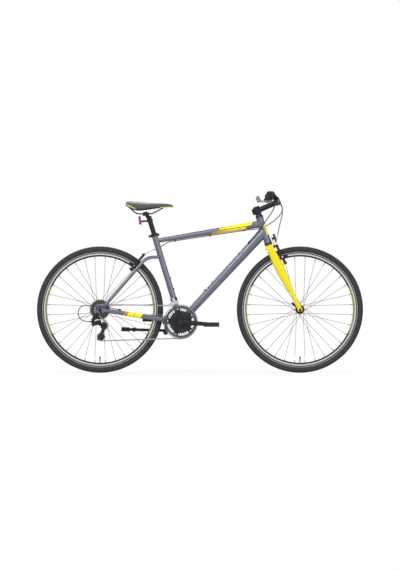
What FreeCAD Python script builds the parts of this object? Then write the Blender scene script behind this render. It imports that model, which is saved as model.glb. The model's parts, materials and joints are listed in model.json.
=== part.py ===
import FreeCAD, Part
import math
import os
import re
from types import SimpleNamespace

import Sketcher

V = FreeCAD.Vector
SIDEWAYS = V(0, 1, 0)
RIGHT, LEFT = -1, 1

# Driving dimensions in millimetres, degrees and counts. +X is forward, +Y is the left side, +Z is up.
SIZES = {
    "wheel_base": 1100,
    "tyre_radius": 348,
    "tyre_width": 38,
    "tyre_wall": 3.6,
    "tube_radius": 12,
    "tube_wall": 1.2,
    "valve_radius": 3,
    "valve_length": 34,
    "rim_inner_radius": 292,
    "rim_seat_radius": 311,
    "rim_flange_radius": 317,
    "rim_width": 24,
    "rim_wall": 1.8,
    "spoke_radius": 1,
    "spoke_count": 32,
    "nipple_radius": 2,
    "nipple_length": 12,
    "flange_radius": 23.5,
    "flange_hole_radius": 20,
    "flange_thickness": 3,
    "front_flange_place": 34,
    "front_hub_radius": 12,
    "front_hub_half": 44,
    "front_axle_half": 50,
    "rear_hub_radius": 16,
    "rear_flange_left": 34,
    "rear_flange_right": 20,
    "rear_hub_left": 46,
    "rear_hub_right": 60,
    "rear_axle_half": 67.5,
    "axle_radius": 5,
    "cone_radius": 8,
    "running_gap": 0.06,
    "side_gap": 0.4,
    "bottom_bracket_drop": 68,
    "chainstay_length": 449,
    "seat_angle": 73.1,
    "seat_tube_length": 506,
    "seat_tube_radius": 16.5,
    "head_angle": 71.5,
    "fork_offset": 50,
    "fork_length": 404,
    "head_tube_length": 147,
    "head_tube_radius": 19,
    "head_collar_radius": 21,
    "head_collar_height": 14,
    "head_bore_radius": 17,
    "shell_radius": 21,
    "shell_length": 68,
    "shell_bore_radius": 17.5,
    "tube_skin": 2,
    "down_tube_join": 65,
    "down_tube_height": 54,
    "down_tube_base": 40,
    "down_tube_width": 42,
    "top_tube_join": 36,
    "top_tube_drop": 40,
    "top_tube_front": 40,
    "top_tube_rear": 25,
    "top_tube_width": 32,
    "top_tube_arch": 1.5,
    "seatstay_radius": 9,
    "seatstay_join": 376,
    "seatstay_bend": 80,
    "chainstay_height": 28,
    "chainstay_width": 18,
    "dropout_thickness": 7,
    "eyelet_radius": 2.5,
    "steerer_radius": 14.3,
    "steerer_wall": 2.3,
    "lower_stack": 12,
    "upper_stack": 14,
    "spacer_height": 5,
    "stem_clamp_height": 40,
    "stem_clamp_radius": 18.5,
    "stem_reach": 118,
    "stem_rise": 11,
    "stem_tube_radius": 15,
    "bar_clamp_radius": 20,
    "bar_clamp_width": 42,
    "bar_bulge_radius": 12.7,
    "bar_radius": 11.1,
    "bar_wall": 2.2,
    "bar_half_width": 315,
    "bar_rise": 52,
    "bar_sweep": 33,
    "grip_radius": 15.5,
    "grip_length": 128,
    "fork_blade_spread": 42,
    "fork_tip_thickness": 6,
    "fork_crown_height": 34,
    "fork_crown_depth": 40,
    "brake_post_radius": 4,
    "brake_arm_depth": 13,
    "brake_arm_length": 106,
    "brake_pad_length": 62,
    "brake_pad_height": 10,
    "brake_pad_thickness": 9,
    "brake_pad_gap": 2,
    "brake_track_radius": 306,
    "front_brake_pivot": 267,
    "rear_brake_pivot": 281,
    "chain_pitch": 12.7,
    "chain_line": 57,
    "roller_radius": 3.85,
    "pin_radius": 1.8,
    "plate_thickness": 0.9,
    "roller_width": 2.4,
    "tooth_thickness": 1.9,
    "seat_clearance": 0.25,
    "tooth_height": 3.2,
    "outer_ring_teeth": 44,
    "middle_ring_teeth": 32,
    "inner_ring_teeth": 22,
    "ring_spacing": 7,
    "bolt_circle_radius": 44,
    "guard_radius": 97,
    "sprocket_spacing": 4.8,
    "freewheel_bore_radius": 17.6,
    "freewheel_body_radius": 21.5,
    "pulley_teeth": 11,
    "guide_pulley_ahead": 23,
    "guide_pulley_drop": 88,
    "cage_length": 63,
    "cage_half_gap": 5.2,
    "cage_plate": 1.5,
    "crank_length": 170,
    "crank_drop_angle": 4.5,
    "spindle_radius": 8.5,
    "crank_place": 66,
    "crank_thickness": 14,
    "pedal_axle_radius": 6,
    "pedal_width": 92,
    "pedal_length": 84,
    "pedal_height": 24,
    "seatpost_radius": 13.6,
    "seatpost_wall": 2.4,
    "seatpost_top": 612,
    "seatpost_insertion": 130,
    "seat_clamp_height": 16,
    "seat_clamp_wall": 3.5,
    "saddle_length": 268,
    "saddle_width": 165,
    "saddle_nose_width": 44,
    "rail_radius": 3.5,
    "rail_spacing": 22,
    "kickstand_radius": 8,
    "housing_radius": 2.5,
    "wire_radius": 0.8,
}

doc = FreeCAD.newDocument("HybridBike")
sheet = doc.addObject("Spreadsheet::Sheet", "Sizes")
for row, (alias, amount) in enumerate(SIZES.items(), start=1):
    sheet.set(f"A{row}", alias)
    sheet.set(f"B{row}", str(amount))
    sheet.setAlias(f"B{row}", alias)
doc.recompute()
mm = SimpleNamespace(**{alias: float(sheet.get(alias)) for alias in SIZES})


def formula(text):
    """A size formula whose names point at the cells of the sheet."""
    return re.sub(r"[a-z_]{3,}", lambda word: "Sizes." + word.group(), text)


def number(text):
    """The value of a size formula: terms added or taken away, each a product of sizes and plain factors."""
    total = 0.0
    for sign, term in re.findall(r"([+-]?)\s*([\w.*]+)", text):
        value = -1.0 if sign == "-" else 1.0
        for factor in term.split("*"):
            value *= getattr(mm, factor) if factor in SIZES else float(factor)
        total += value
    return total


def frame_at(origin, along, across=None):
    """A placement whose Z axis points along one direction and whose X axis points across it."""
    if across is None:
        return FreeCAD.Placement(origin, FreeCAD.Rotation(V(0, 0, 1), along))
    return FreeCAD.Placement(origin, FreeCAD.Rotation(across, along.cross(across), along, "ZXY"))


def draw_outline(sketch, corners):
    """A closed outline in a sketch, each corner held by two distances bound to the sheet."""
    first = sketch.GeometryCount
    points = [(number(across), number(up)) for across, up in corners]
    for (x, y), (next_x, next_y) in zip(points, points[1:] + points[:1]):
        sketch.addGeometry(Part.LineSegment(V(x, y, 0), V(next_x, next_y, 0)), False)
    for index, (corner, point) in enumerate(zip(corners, points)):
        line = first + index
        follower = first + (index + 1) % len(points)
        sketch.addConstraint(Sketcher.Constraint("Coincident", line, 2, follower, 1))
        for kind, text, value in zip(("DistanceX", "DistanceY"), corner, point):
            held = sketch.addConstraint(Sketcher.Constraint(kind, -1, 1, line, 1, value))
            sketch.setExpression(f"Constraints[{held}]", formula(text))


def turned(label, profile, placement, hollow=None):
    """A piece turned about its own Z axis from (radius, height) corners, with an optional closed hollow."""
    body = doc.addObject("PartDesign::Body", label)
    plane = next(item for item in body.Origin.OriginFeatures if item.Role == "XZ_Plane")
    sketch = body.newObject("Sketcher::SketchObject", label + "_profile")
    sketch.AttachmentSupport = (plane, [""])
    sketch.MapMode = "FlatFace"
    draw_outline(sketch, profile)
    if hollow:
        draw_outline(sketch, hollow)
    turn = body.newObject("PartDesign::Revolution", label + "_turn")
    turn.Profile = sketch
    turn.ReferenceAxis = (sketch, ["V_Axis"])
    turn.Angle = 360
    body.Placement = placement
    return body


def rod(label, radius, length, placement):
    """A round bar from its base along its own Z axis."""
    piece = doc.addObject("Part::Cylinder", label)
    piece.setExpression("Radius", formula(radius))
    piece.setExpression("Height", formula(length))
    piece.Placement = placement
    return piece


def shaped(label, shape):
    """A piece whose form comes from curves and booleans worked out here."""
    piece = doc.addObject("Part::Feature", label)
    piece.Shape = shape
    return piece


def group(label, pieces):
    """Separate solids that share one node."""
    node = doc.addObject("Part::Compound", label)
    node.Links = pieces
    return node


def less(label, base, tool):
    """One piece with another cut out of it."""
    cut = doc.addObject("Part::Cut", label)
    cut.Base = base
    cut.Tool = tool
    return cut


def bar(start, end, radius):
    """A solid round bar between two points."""
    return Part.makeCylinder(radius, (end - start).Length, start, end - start)


def tube(start, end, outer, inner):
    """A round tube between two points."""
    return bar(start, end, outer).cut(bar(start, end, inner))


def slab(low, high, placement=None):
    """A rectangular block between two corners of its own frame."""
    low, high = V(*low), V(*high)
    size = high - low
    block = Part.makeBox(size.x, size.y, size.z, low)
    if placement:
        block.Placement = placement.multiply(block.Placement)
    return block


def strap(start, end, start_radius, end_radius, depth, placement=None):
    """A flat link round two circles of its own XY plane, raised by its depth along Z."""
    run_x, run_y = end[0] - start[0], end[1] - start[1]
    heading = math.atan2(run_y, run_x)
    spread = math.acos((start_radius - end_radius) / math.hypot(run_x, run_y))

    def on(centre, radius, angle):
        return V(centre[0] + radius * math.cos(angle), centre[1] + radius * math.sin(angle), 0)

    left, right = heading + spread, heading - spread
    round_start = Part.Arc(
        on(start, start_radius, left), on(start, start_radius, heading + math.pi), on(start, start_radius, right)
    )
    round_end = Part.Arc(on(end, end_radius, right), on(end, end_radius, heading), on(end, end_radius, left))
    edges = [
        round_start.toShape(),
        Part.LineSegment(on(start, start_radius, right), on(end, end_radius, right)).toShape(),
        round_end.toShape(),
        Part.LineSegment(on(end, end_radius, left), on(start, start_radius, left)).toShape(),
    ]
    link = Part.Face(Part.Wire(edges)).extrude(V(0, 0, depth))
    if placement:
        link.Placement = placement
    return link


def fused(shapes):
    """Several overlapping shapes as one clean solid."""
    return shapes[0].fuse(shapes[1:]).removeSplitter()


def route(points, radii):
    """One wire of straight runs joined by tangent arcs, with a bend radius for each inner point."""
    edges = []
    here = points[0]
    for before, corner, after, radius in zip(points, points[1:], points[2:], radii):
        back = (before - corner).normalize()
        onward = (after - corner).normalize()
        half_turn = (math.pi - back.getAngle(onward)) / 2
        reach = radius * math.tan(half_turn)
        inward = (back + onward).normalize()
        middle = corner + inward * (radius / math.cos(half_turn) - radius)
        edges.append(Part.LineSegment(here, corner + back * reach).toShape())
        edges.append(Part.Arc(corner + back * reach, middle, corner + onward * reach).toShape())
        here = corner + onward * reach
    edges.append(Part.LineSegment(here, points[-1]).toShape())
    return Part.Wire(edges)


def swept(wire, radius):
    """A round section carried along a wire."""
    first = wire.Edges[0]
    start = first.valueAt(first.FirstParameter)
    heading = first.tangentAt(first.FirstParameter)
    section = Part.Wire(Part.makeCircle(radius, start, heading))
    return wire.makePipeShell([section], True, False)


def oval(centre, up, side, half_height, half_width):
    """An oval section, at least as high as it is wide."""
    return Part.Wire(Part.Ellipse(centre + up * half_height, centre + side * half_width, centre).toShape())


def lofted(sections):
    """A smooth skin through closed sections."""
    return Part.makeLoft(sections, True, False)


def mirrored(shape):
    """The same shape on the other side of the bicycle."""
    return shape.mirror(V(0, 0, 0), SIDEWAYS)


# Main points of the bicycle
REAR = V(-mm.wheel_base / 2, 0, mm.tyre_radius)
FRONT = V(mm.wheel_base / 2, 0, mm.tyre_radius)
CRANK = REAR + V(math.sqrt(mm.chainstay_length**2 - mm.bottom_bracket_drop**2), 0, -mm.bottom_bracket_drop)
SEAT_UP = V(-math.cos(math.radians(mm.seat_angle)), 0, math.sin(math.radians(mm.seat_angle)))
SEAT_AHEAD = SEAT_UP.cross(SIDEWAYS) * -1
STEER_UP = V(-math.cos(math.radians(mm.head_angle)), 0, math.sin(math.radians(mm.head_angle)))
STEER_AHEAD = V(math.sin(math.radians(mm.head_angle)), 0, math.cos(math.radians(mm.head_angle)))
STEER_BASE = FRONT - STEER_AHEAD * mm.fork_offset
HEAD_TOP = mm.fork_length + mm.head_tube_length
STEM_BASE = HEAD_TOP + mm.upper_stack + mm.spacer_height
STEM_TOP = STEM_BASE + mm.stem_clamp_height
SEAT_TOP = CRANK + SEAT_UP * mm.seat_tube_length


def steer(ahead, side, up):
    """A point in the steering frame: ahead of the steering axis, to the left, and up along it."""
    return STEER_BASE + STEER_AHEAD * ahead + SIDEWAYS * side + STEER_UP * up


def up_seat(distance, ahead=0, side=0):
    """A point at a distance up the seat tube's axis from the crank axis."""
    return CRANK + SEAT_UP * distance + SEAT_AHEAD * ahead + SIDEWAYS * side


# Frame tubes, each mitred to the tube that it is welded to
head_outer = bar(steer(0, 0, mm.fork_length), steer(0, 0, HEAD_TOP), mm.head_tube_radius)
head_collars = [
    bar(steer(0, 0, low), steer(0, 0, low + mm.head_collar_height), mm.head_collar_radius)
    for low in (mm.fork_length, HEAD_TOP - mm.head_collar_height)
]
head_solid = fused([head_outer] + head_collars)
head_tube = head_solid.cut(bar(steer(0, 0, mm.fork_length), steer(0, 0, HEAD_TOP), mm.head_bore_radius))

SHELL_HALF = mm.shell_length / 2
shell_solid = bar(CRANK - SIDEWAYS * SHELL_HALF, CRANK + SIDEWAYS * SHELL_HALF, mm.shell_radius)
shell_bore = bar(CRANK - SIDEWAYS * SHELL_HALF, CRANK + SIDEWAYS * SHELL_HALF, mm.shell_bore_radius)
bottom_shell = shell_solid.cut(shell_bore)

SEAT_BORE = mm.seatpost_radius + mm.running_gap
CLAMP_SLOT = 3
CLAMP_SLOT_LENGTH = 32
seat_solid = bar(CRANK, SEAT_TOP, mm.seat_tube_radius)
clamp_slot = slab(
    (-mm.seat_tube_radius - 1, -CLAMP_SLOT / 2, mm.seat_tube_length - CLAMP_SLOT_LENGTH),
    (0, CLAMP_SLOT / 2, mm.seat_tube_length + 1),
    frame_at(CRANK, SEAT_UP, SEAT_AHEAD),
)
seat_tube = seat_solid.cut([bar(CRANK, SEAT_TOP, SEAT_BORE), shell_solid, clamp_slot])

down_end = steer(0, 0, mm.fork_length + mm.down_tube_join)
down_run = down_end - CRANK
down_up = SIDEWAYS.cross(down_run).normalize() * -1


def down_sections(skin):
    """The down tube's sections, drawn in by a skin thickness."""
    heights = (mm.down_tube_base, (mm.down_tube_base + mm.down_tube_height) / 2, mm.down_tube_height)
    widths = (mm.down_tube_base, mm.down_tube_width, mm.down_tube_width)
    return [
        oval(CRANK + down_run * share, down_up, SIDEWAYS, height / 2 - skin, width / 2 - skin - 0.01)
        for share, height, width in zip((0, 0.55, 1), heights, widths)
    ]


down_solid = lofted(down_sections(0)).cut([shell_solid, head_solid, seat_solid])
down_tube = down_solid.cut(lofted(down_sections(mm.tube_skin)))

top_end = steer(0, 0, HEAD_TOP - mm.top_tube_join)
top_start = up_seat(mm.seat_tube_length - mm.top_tube_drop)
top_run = top_end - top_start
top_up = SIDEWAYS.cross(top_run).normalize() * -1


def top_sections(skin):
    """The top tube's sections: slim at the seat tube, deep at the head tube, arched a little between."""
    heights = (mm.top_tube_rear, (mm.top_tube_rear + mm.top_tube_front) / 2, mm.top_tube_front)
    sections = []
    for share, height, arch in zip((0, 0.5, 1), heights, (0, mm.top_tube_arch, 0)):
        width = min(mm.top_tube_width, height) / 2 - skin - 0.01
        sections.append(oval(top_start + top_run * share + top_up * arch, top_up, SIDEWAYS, height / 2 - skin, width))
    return sections


top_solid = lofted(top_sections(0)).cut([seat_solid, head_solid])
top_tube = top_solid.cut(lofted(top_sections(mm.tube_skin)))

DROPOUT_MIDDLE = mm.rear_axle_half + mm.dropout_thickness / 2
STAY_FOOT = V(32, DROPOUT_MIDDLE, 29)
stay_end = up_seat(mm.seatstay_join, -mm.seat_tube_radius + 6, 13)
stay_corner = V(stay_end.x - 67, 30, stay_end.z)
stay_points = [REAR + STAY_FOOT, stay_corner, stay_end]
seatstay = swept(route(stay_points, [mm.seatstay_bend]), mm.seatstay_radius)
seatstay_bore = swept(route(stay_points, [mm.seatstay_bend]), mm.seatstay_radius - mm.tube_skin)
left_seatstay = seatstay.cut([seat_solid, seatstay_bore])
STAY_UP = (stay_corner - REAR - STAY_FOOT).normalize()
bridge_place = stay_corner - STAY_UP * 20
seatstay_bridge = bar(V(bridge_place.x, -40, bridge_place.z), V(bridge_place.x, 40, bridge_place.z), 7)
seatstay_bridge = seatstay_bridge.cut([seatstay, mirrored(seatstay)]).Solids
seatstay_bridge = min(seatstay_bridge, key=lambda solid: abs(solid.CenterOfMass.y))

chainstay_stations = (
    (0.065, DROPOUT_MIDDLE, 0.62, 0.62),
    (0.27, 62, 0.9, 0.85),
    (0.56, 45, 1.0, 1.0),
    (0.77, 35, 1.0, 0.95),
    (1.0, 22, 1.0, 1.2),
)


def chainstay_skin(skin):
    """The chainstay's sections from the dropout to the bottom bracket, waisted past the tyre."""
    axis = CRANK - REAR
    sections = []
    for share, side, height, width in chainstay_stations:
        centre = V(REAR.x + axis.x * share, side, REAR.z + axis.z * share)
        half_width = mm.chainstay_width * width / 2 - skin
        sections.append(oval(centre, V(0, 0, 1), SIDEWAYS, mm.chainstay_height * height / 2 - skin, half_width))
    return lofted(sections)


chainstay = chainstay_skin(0)
shell_end = CRANK + SIDEWAYS * SHELL_HALF
ring_room = bar(shell_end, shell_end + SIDEWAYS * 8, mm.shell_radius - 1.5)
left_chainstay = chainstay.cut([shell_solid, seat_solid, down_solid, ring_room, chainstay_skin(mm.tube_skin)])
left_chainstay = max(left_chainstay.Solids, key=lambda solid: solid.Volume)

# Dropout plates with the axle slot, an eyelet for racks and mudguards, and the right side's derailleur hanger
EYELET = (-3, 25)
HANGER = (-13, -27)
CHAIN_FOOT = (32, -5)
SLOT_LEAN = 22
DROPOUT_FRAME = FreeCAD.Placement(REAR, FreeCAD.Rotation(V(1, 0, 0), V(0, 0, 1), V(0, -1, 0), "XYZ"))


def dropout(side):
    """One dropout plate, drawn on the wheel's own plane."""
    arms = [
        strap((0, 0), (STAY_FOOT.x + 6, STAY_FOOT.z + 6), 16, 8, mm.dropout_thickness),
        strap((0, 0), CHAIN_FOOT, 16, 9, mm.dropout_thickness),
        strap((0, 0), EYELET, 16, 7, mm.dropout_thickness),
    ]
    holes = [Part.makeCylinder(mm.eyelet_radius, mm.dropout_thickness, V(*EYELET, 0))]
    if side == RIGHT:
        arms.append(strap((0, 0), HANGER, 15, 10, mm.dropout_thickness))
        holes.append(Part.makeCylinder(4, mm.dropout_thickness, V(*HANGER, 0)))
    slot_width = mm.axle_radius + mm.running_gap
    holes.append(Part.makeCylinder(slot_width, mm.dropout_thickness))
    leaning = FreeCAD.Placement(V(0, 0, 0), FreeCAD.Rotation(V(0, 0, 1), SLOT_LEAN))
    holes.append(slab((-slot_width, -30, 0), (slot_width, 0, mm.dropout_thickness), leaning))
    plate = fused(arms).cut(holes)
    plate.Placement = DROPOUT_FRAME
    plate.translate(V(0, -mm.rear_axle_half if side == RIGHT else mm.rear_axle_half + mm.dropout_thickness, 0))
    return plate


stays = [seatstay, chainstay, mirrored(seatstay), mirrored(chainstay)]
dropouts = [dropout(side).cut(stays) for side in (RIGHT, LEFT)]
dropouts = [max(plate.Solids, key=lambda solid: solid.Volume) for plate in dropouts]

# Rear brake posts stand off the seatstays, square to them
STAY_IN_PLANE = V(STAY_UP.x, 0, STAY_UP.z).normalize()
REAR_BRAKE_OUT = V(-STAY_IN_PLANE.z, 0, STAY_IN_PLANE.x)


def beside_stay(along):
    """A point on the left seatstay's axis at a distance from the wheel's axle."""
    foot = REAR + STAY_FOOT
    return foot + STAY_UP * ((along - (foot - REAR).dot(STAY_IN_PLANE)) / STAY_UP.dot(STAY_IN_PLANE))


rear_boss = beside_stay(mm.rear_brake_pivot)
BOSS_LENGTH = 14
POST_LENGTH = mm.brake_arm_depth + 2
post_base = bar(rear_boss, rear_boss + REAR_BRAKE_OUT * BOSS_LENGTH, 7)
post_pin = bar(rear_boss, rear_boss + REAR_BRAKE_OUT * (BOSS_LENGTH + POST_LENGTH), mm.brake_post_radius)
left_post = fused([post_base, post_pin]).cut(seatstay)
frame_solids = [head_tube, bottom_shell, seat_tube, down_tube, top_tube, seatstay_bridge] + dropouts
frame_solids += [left_seatstay, mirrored(left_seatstay), left_chainstay, mirrored(left_chainstay)]
rear_post_end = rear_boss + REAR_BRAKE_OUT * (BOSS_LENGTH + POST_LENGTH)
left_post_bolt = bar(rear_post_end, rear_post_end + REAR_BRAKE_OUT * 2.5, 6.5)
frame_solids += [left_post, mirrored(left_post), left_post_bolt, mirrored(left_post_bolt)]
shaped("frame", Part.makeCompound([solid for shape in frame_solids for solid in shape.Solids]))

# Head bearings: pressed cups, a race in each, and a cover over the upper one
lower_cup = turned(
    "headset_lower_cup",
    [
        ("steerer_radius + 4", "fork_length - lower_stack + side_gap"),
        ("head_collar_radius", "fork_length - lower_stack + side_gap"),
        ("head_collar_radius + 1", "fork_length - 0.5*lower_stack"),
        ("head_collar_radius", "fork_length"),
        ("steerer_radius + 4", "fork_length"),
    ],
    frame_at(STEER_BASE, STEER_UP),
)
lower_race = turned(
    "headset_lower_race",
    [
        ("steerer_radius + running_gap", "fork_length - lower_stack + side_gap"),
        ("steerer_radius + 4 - running_gap", "fork_length - lower_stack + side_gap"),
        ("steerer_radius + 4 - running_gap", "fork_length"),
        ("steerer_radius + running_gap", "fork_length"),
    ],
    frame_at(STEER_BASE, STEER_UP),
)
upper_cup = turned(
    "headset_upper_cup",
    [
        ("steerer_radius + running_gap", "fork_length + head_tube_length"),
        ("head_collar_radius", "fork_length + head_tube_length"),
        ("head_collar_radius", "fork_length + head_tube_length + 0.4*upper_stack"),
        ("steerer_radius + 4", "fork_length + head_tube_length + upper_stack - side_gap"),
        ("steerer_radius + running_gap", "fork_length + head_tube_length + upper_stack - side_gap"),
    ],
    frame_at(STEER_BASE, STEER_UP),
)
group("headset", [lower_cup, lower_race, upper_cup])

# Bottom bracket cartridge with its two rings
CARTRIDGE_FRAME = frame_at(CRANK, SIDEWAYS)
cartridge = turned(
    "bottom_bracket_cartridge",
    [
        ("spindle_radius + running_gap", "-0.5*shell_length"),
        ("shell_bore_radius - running_gap", "-0.5*shell_length"),
        ("shell_bore_radius - running_gap", "0.5*shell_length"),
        ("spindle_radius + running_gap", "0.5*shell_length"),
    ],
    CARTRIDGE_FRAME,
)
right_ring = turned(
    "bottom_bracket_right_ring",
    [
        ("spindle_radius + 3", "-0.5*shell_length - 3"),
        ("shell_radius - 2", "-0.5*shell_length - 3"),
        ("shell_radius - 2", "-0.5*shell_length"),
        ("spindle_radius + 3", "-0.5*shell_length"),
    ],
    CARTRIDGE_FRAME,
)
left_ring = turned(
    "bottom_bracket_left_ring",
    [
        ("spindle_radius + 3", "0.5*shell_length"),
        ("shell_radius - 2", "0.5*shell_length"),
        ("shell_radius - 2", "0.5*shell_length + 3"),
        ("spindle_radius + 3", "0.5*shell_length + 3"),
    ],
    CARTRIDGE_FRAME,
)
group("bottom_bracket", [cartridge, right_ring, left_ring])

# Seat clamp: a split collar round the top of the seat tube with its skewer behind
COLLAR_INNER = mm.seat_tube_radius + mm.running_gap
COLLAR_OUTER = COLLAR_INNER + mm.seat_clamp_wall
COLLAR_BASE = mm.seat_tube_length - mm.seat_clamp_height + 2
COLLAR_FRAME = frame_at(up_seat(COLLAR_BASE), SEAT_UP, SEAT_AHEAD)
SKEWER_BEHIND = COLLAR_OUTER + 5
SKEWER_HALF = 15
SKEWER_RADIUS = 2.5
collar = fused([
    Part.makeCylinder(COLLAR_OUTER, mm.seat_clamp_height),
    slab((-SKEWER_BEHIND - 5, -9, 2), (0, 9, mm.seat_clamp_height - 2)),
])
skewer_line = V(-SKEWER_BEHIND, 0, mm.seat_clamp_height / 2)
skewer_hole = bar(skewer_line - SIDEWAYS * 20, skewer_line + SIDEWAYS * 20, SKEWER_RADIUS + mm.running_gap)
collar_slot = slab((-SKEWER_BEHIND - 9, -CLAMP_SLOT / 2, -1), (0, CLAMP_SLOT / 2, mm.seat_clamp_height + 1))
collar = collar.cut([Part.makeCylinder(COLLAR_INNER, mm.seat_clamp_height), skewer_hole, collar_slot])
collar.Placement = COLLAR_FRAME
skewer_middle = COLLAR_FRAME.multVec(skewer_line)
seat_skewer_end = skewer_middle + SIDEWAYS * SKEWER_HALF
CAM_RADIUS = 8
CAM_THICKNESS = 13


def skewer_shape(nut_start, hinge, along):
    """A skewer from its nut to the cam's cross pin."""
    out = (hinge - nut_start).normalize()
    cross = out.cross(along).normalize()
    nut = bar(nut_start, nut_start + out * 6, 6.5)
    shank = bar(nut_start, hinge, SKEWER_RADIUS - 0.3)
    pin = bar(hinge - cross * CAM_THICKNESS / 2, hinge + cross * CAM_THICKNESS / 2, SKEWER_RADIUS)
    return fused([nut, shank, pin])


def quick_release(label, hinge, out, along, length):
    """A cam lever: two cheeks that turn on the skewer's cross pin, and a bowed handle along its closed direction."""
    half = CAM_THICKNESS / 2
    cam = Part.makeCylinder(CAM_RADIUS, CAM_THICKNESS)
    handle = strap((0, 0), (length * 0.45, -6), 7, 5.5, CAM_THICKNESS)
    tip = strap((length * 0.45, -6), (length, -3), 5.5, 4.5, CAM_THICKNESS)
    bore = Part.makeCylinder(SKEWER_RADIUS + mm.running_gap, CAM_THICKNESS)
    throat_width = 2 * SKEWER_RADIUS + 2 * mm.side_gap
    throat = Part.makeCylinder(CAM_RADIUS + 3, throat_width, V(0, 0, half - throat_width / 2))
    lever = fused([cam, handle, tip]).cut([bore, throat])
    lever.translate(V(0, 0, -half))
    lever.Placement = frame_at(hinge, out.cross(along).normalize(), along).multiply(lever.Placement)
    return shaped(label, lever)


SEAT_LEVER_ALONG = V(0.98, 0, 0.2).normalize()
seat_hinge = seat_skewer_end + SIDEWAYS * 8
seat_skewer = skewer_shape(skewer_middle - SIDEWAYS * SKEWER_HALF, seat_hinge, SEAT_LEVER_ALONG)
seat_washer = tube(skewer_middle + SIDEWAYS * 9, seat_hinge - SIDEWAYS * (CAM_RADIUS + mm.side_gap), 6,
                   SKEWER_RADIUS + mm.running_gap)
shaped("seat_clamp", Part.makeCompound([collar, seat_skewer, seat_washer]))
quick_release("seat_qr_lever", seat_hinge, SIDEWAYS, SEAT_LEVER_ALONG, 48)


# Fork: steerer, arched crown, two lofted blades, tips with axle slots, brake posts and rack eyelets
CROWN_TOP = mm.fork_length - mm.lower_stack
CROWN_BASE = CROWN_TOP - mm.fork_crown_height - 6
STEER_FRAME = frame_at(STEER_BASE, STEER_UP, STEER_AHEAD)
BLADE_UP = (steer(0, 0, CROWN_TOP - mm.fork_crown_height / 2) - FRONT).normalize()
BLADE_AHEAD = BLADE_UP.cross(SIDEWAYS) * -1
TIP_MIDDLE = mm.front_axle_half + mm.fork_tip_thickness / 2
BLADE_LENGTH = 380
BLADE_STATIONS = ((BLADE_LENGTH, 35, 26), (283, 49, 27), (204, 45, 24), (121, 30, 19), (22, 26, 14))


def blade_side(along):
    """How far out the left blade's axis lies at a distance up from the axle."""
    return TIP_MIDDLE + (mm.fork_blade_spread - TIP_MIDDLE) * along / BLADE_LENGTH


def blade_skin(skin, lowest):
    """The left blade's surface, drawn in by a skin thickness, with no section below the lowest place."""
    sections = []
    for along, depth, width in BLADE_STATIONS:
        along = max(along, lowest)
        centre = FRONT + BLADE_UP * along + SIDEWAYS * blade_side(along)
        sections.append(oval(centre, BLADE_AHEAD, SIDEWAYS, depth / 2 - skin, width / 2 - skin))
    return lofted(sections)


def crown_arch():
    """The crown: shoulders falling from the bearing seat to the blades, arched over the tyre."""
    reach = mm.fork_blade_spread + 14
    arch = mm.fork_blade_spread - 13
    corners = [V(0, 20, CROWN_TOP), V(0, reach, CROWN_TOP - 24), V(0, reach, CROWN_BASE), V(0, arch, CROWN_BASE)]
    opposite = [V(point.x, -point.y, point.z) for point in corners]
    bulge = V(0, 42, CROWN_TOP - 8)
    edges = [
        Part.LineSegment(opposite[0], corners[0]).toShape(),
        Part.Arc(corners[0], bulge, corners[1]).toShape(),
        Part.LineSegment(corners[1], corners[2]).toShape(),
        Part.LineSegment(corners[2], corners[3]).toShape(),
        Part.Arc(corners[3], V(0, 0, CROWN_BASE + 20), opposite[3]).toShape(),
        Part.LineSegment(opposite[3], opposite[2]).toShape(),
        Part.LineSegment(opposite[2], opposite[1]).toShape(),
        Part.Arc(opposite[1], V(0, -bulge.y, bulge.z), opposite[0]).toShape(),
    ]
    arch_solid = Part.Face(Part.Wire(edges)).extrude(V(mm.fork_crown_depth, 0, 0))
    arch_solid.translate(V(-mm.fork_crown_depth / 2, 0, 0))
    arch_solid.Placement = STEER_FRAME.multiply(arch_solid.Placement)
    return arch_solid


STEERER_TOP = STEM_TOP - 3
steerer_bore = mm.steerer_radius - mm.steerer_wall
crown = crown_arch()
steerer = tube(steer(0, 0, CROWN_BASE + 24), steer(0, 0, STEERER_TOP), mm.steerer_radius, steerer_bore)
crown = crown.cut(bar(steer(0, 0, CROWN_BASE + 24), steer(0, 0, CROWN_TOP + 1), mm.steerer_radius))
crown_bolt_up = CROWN_TOP - 18
crown_bolt = bar(steer(-40, 0, crown_bolt_up), steer(40, 0, crown_bolt_up), 3)
crown = crown.cut(crown_bolt)
steerer = steerer.cut(crown_bolt)

EYELET_UP = 119
EYELET_DEPTH = 11
eyelet_face = blade_side(EYELET_UP) + 11
eyelet_axis = FRONT + BLADE_UP * EYELET_UP
eyelet_plug = bar(eyelet_axis + SIDEWAYS * (eyelet_face - 16), eyelet_axis + SIDEWAYS * eyelet_face, 5.5)
eyelet_hole = bar(eyelet_axis + SIDEWAYS * (eyelet_face - EYELET_DEPTH), eyelet_axis + SIDEWAYS * eyelet_face,
                  mm.eyelet_radius)
blade_solid = blade_skin(0, 22)
crown_room = slab((-60, -90, CROWN_BASE), (60, 90, CROWN_BASE + 90), STEER_FRAME)
left_blade = fused([blade_solid.cut(blade_skin(mm.tube_skin + 1, 45)), eyelet_plug]).cut([eyelet_hole, crown_room])
left_blade = max(left_blade.Solids, key=lambda solid: solid.Volume)

TIP_FRAME = FreeCAD.Placement(FRONT, FreeCAD.Rotation(V(1, 0, 0), V(0, 0, 1), V(0, -1, 0), "XYZ"))


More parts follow.
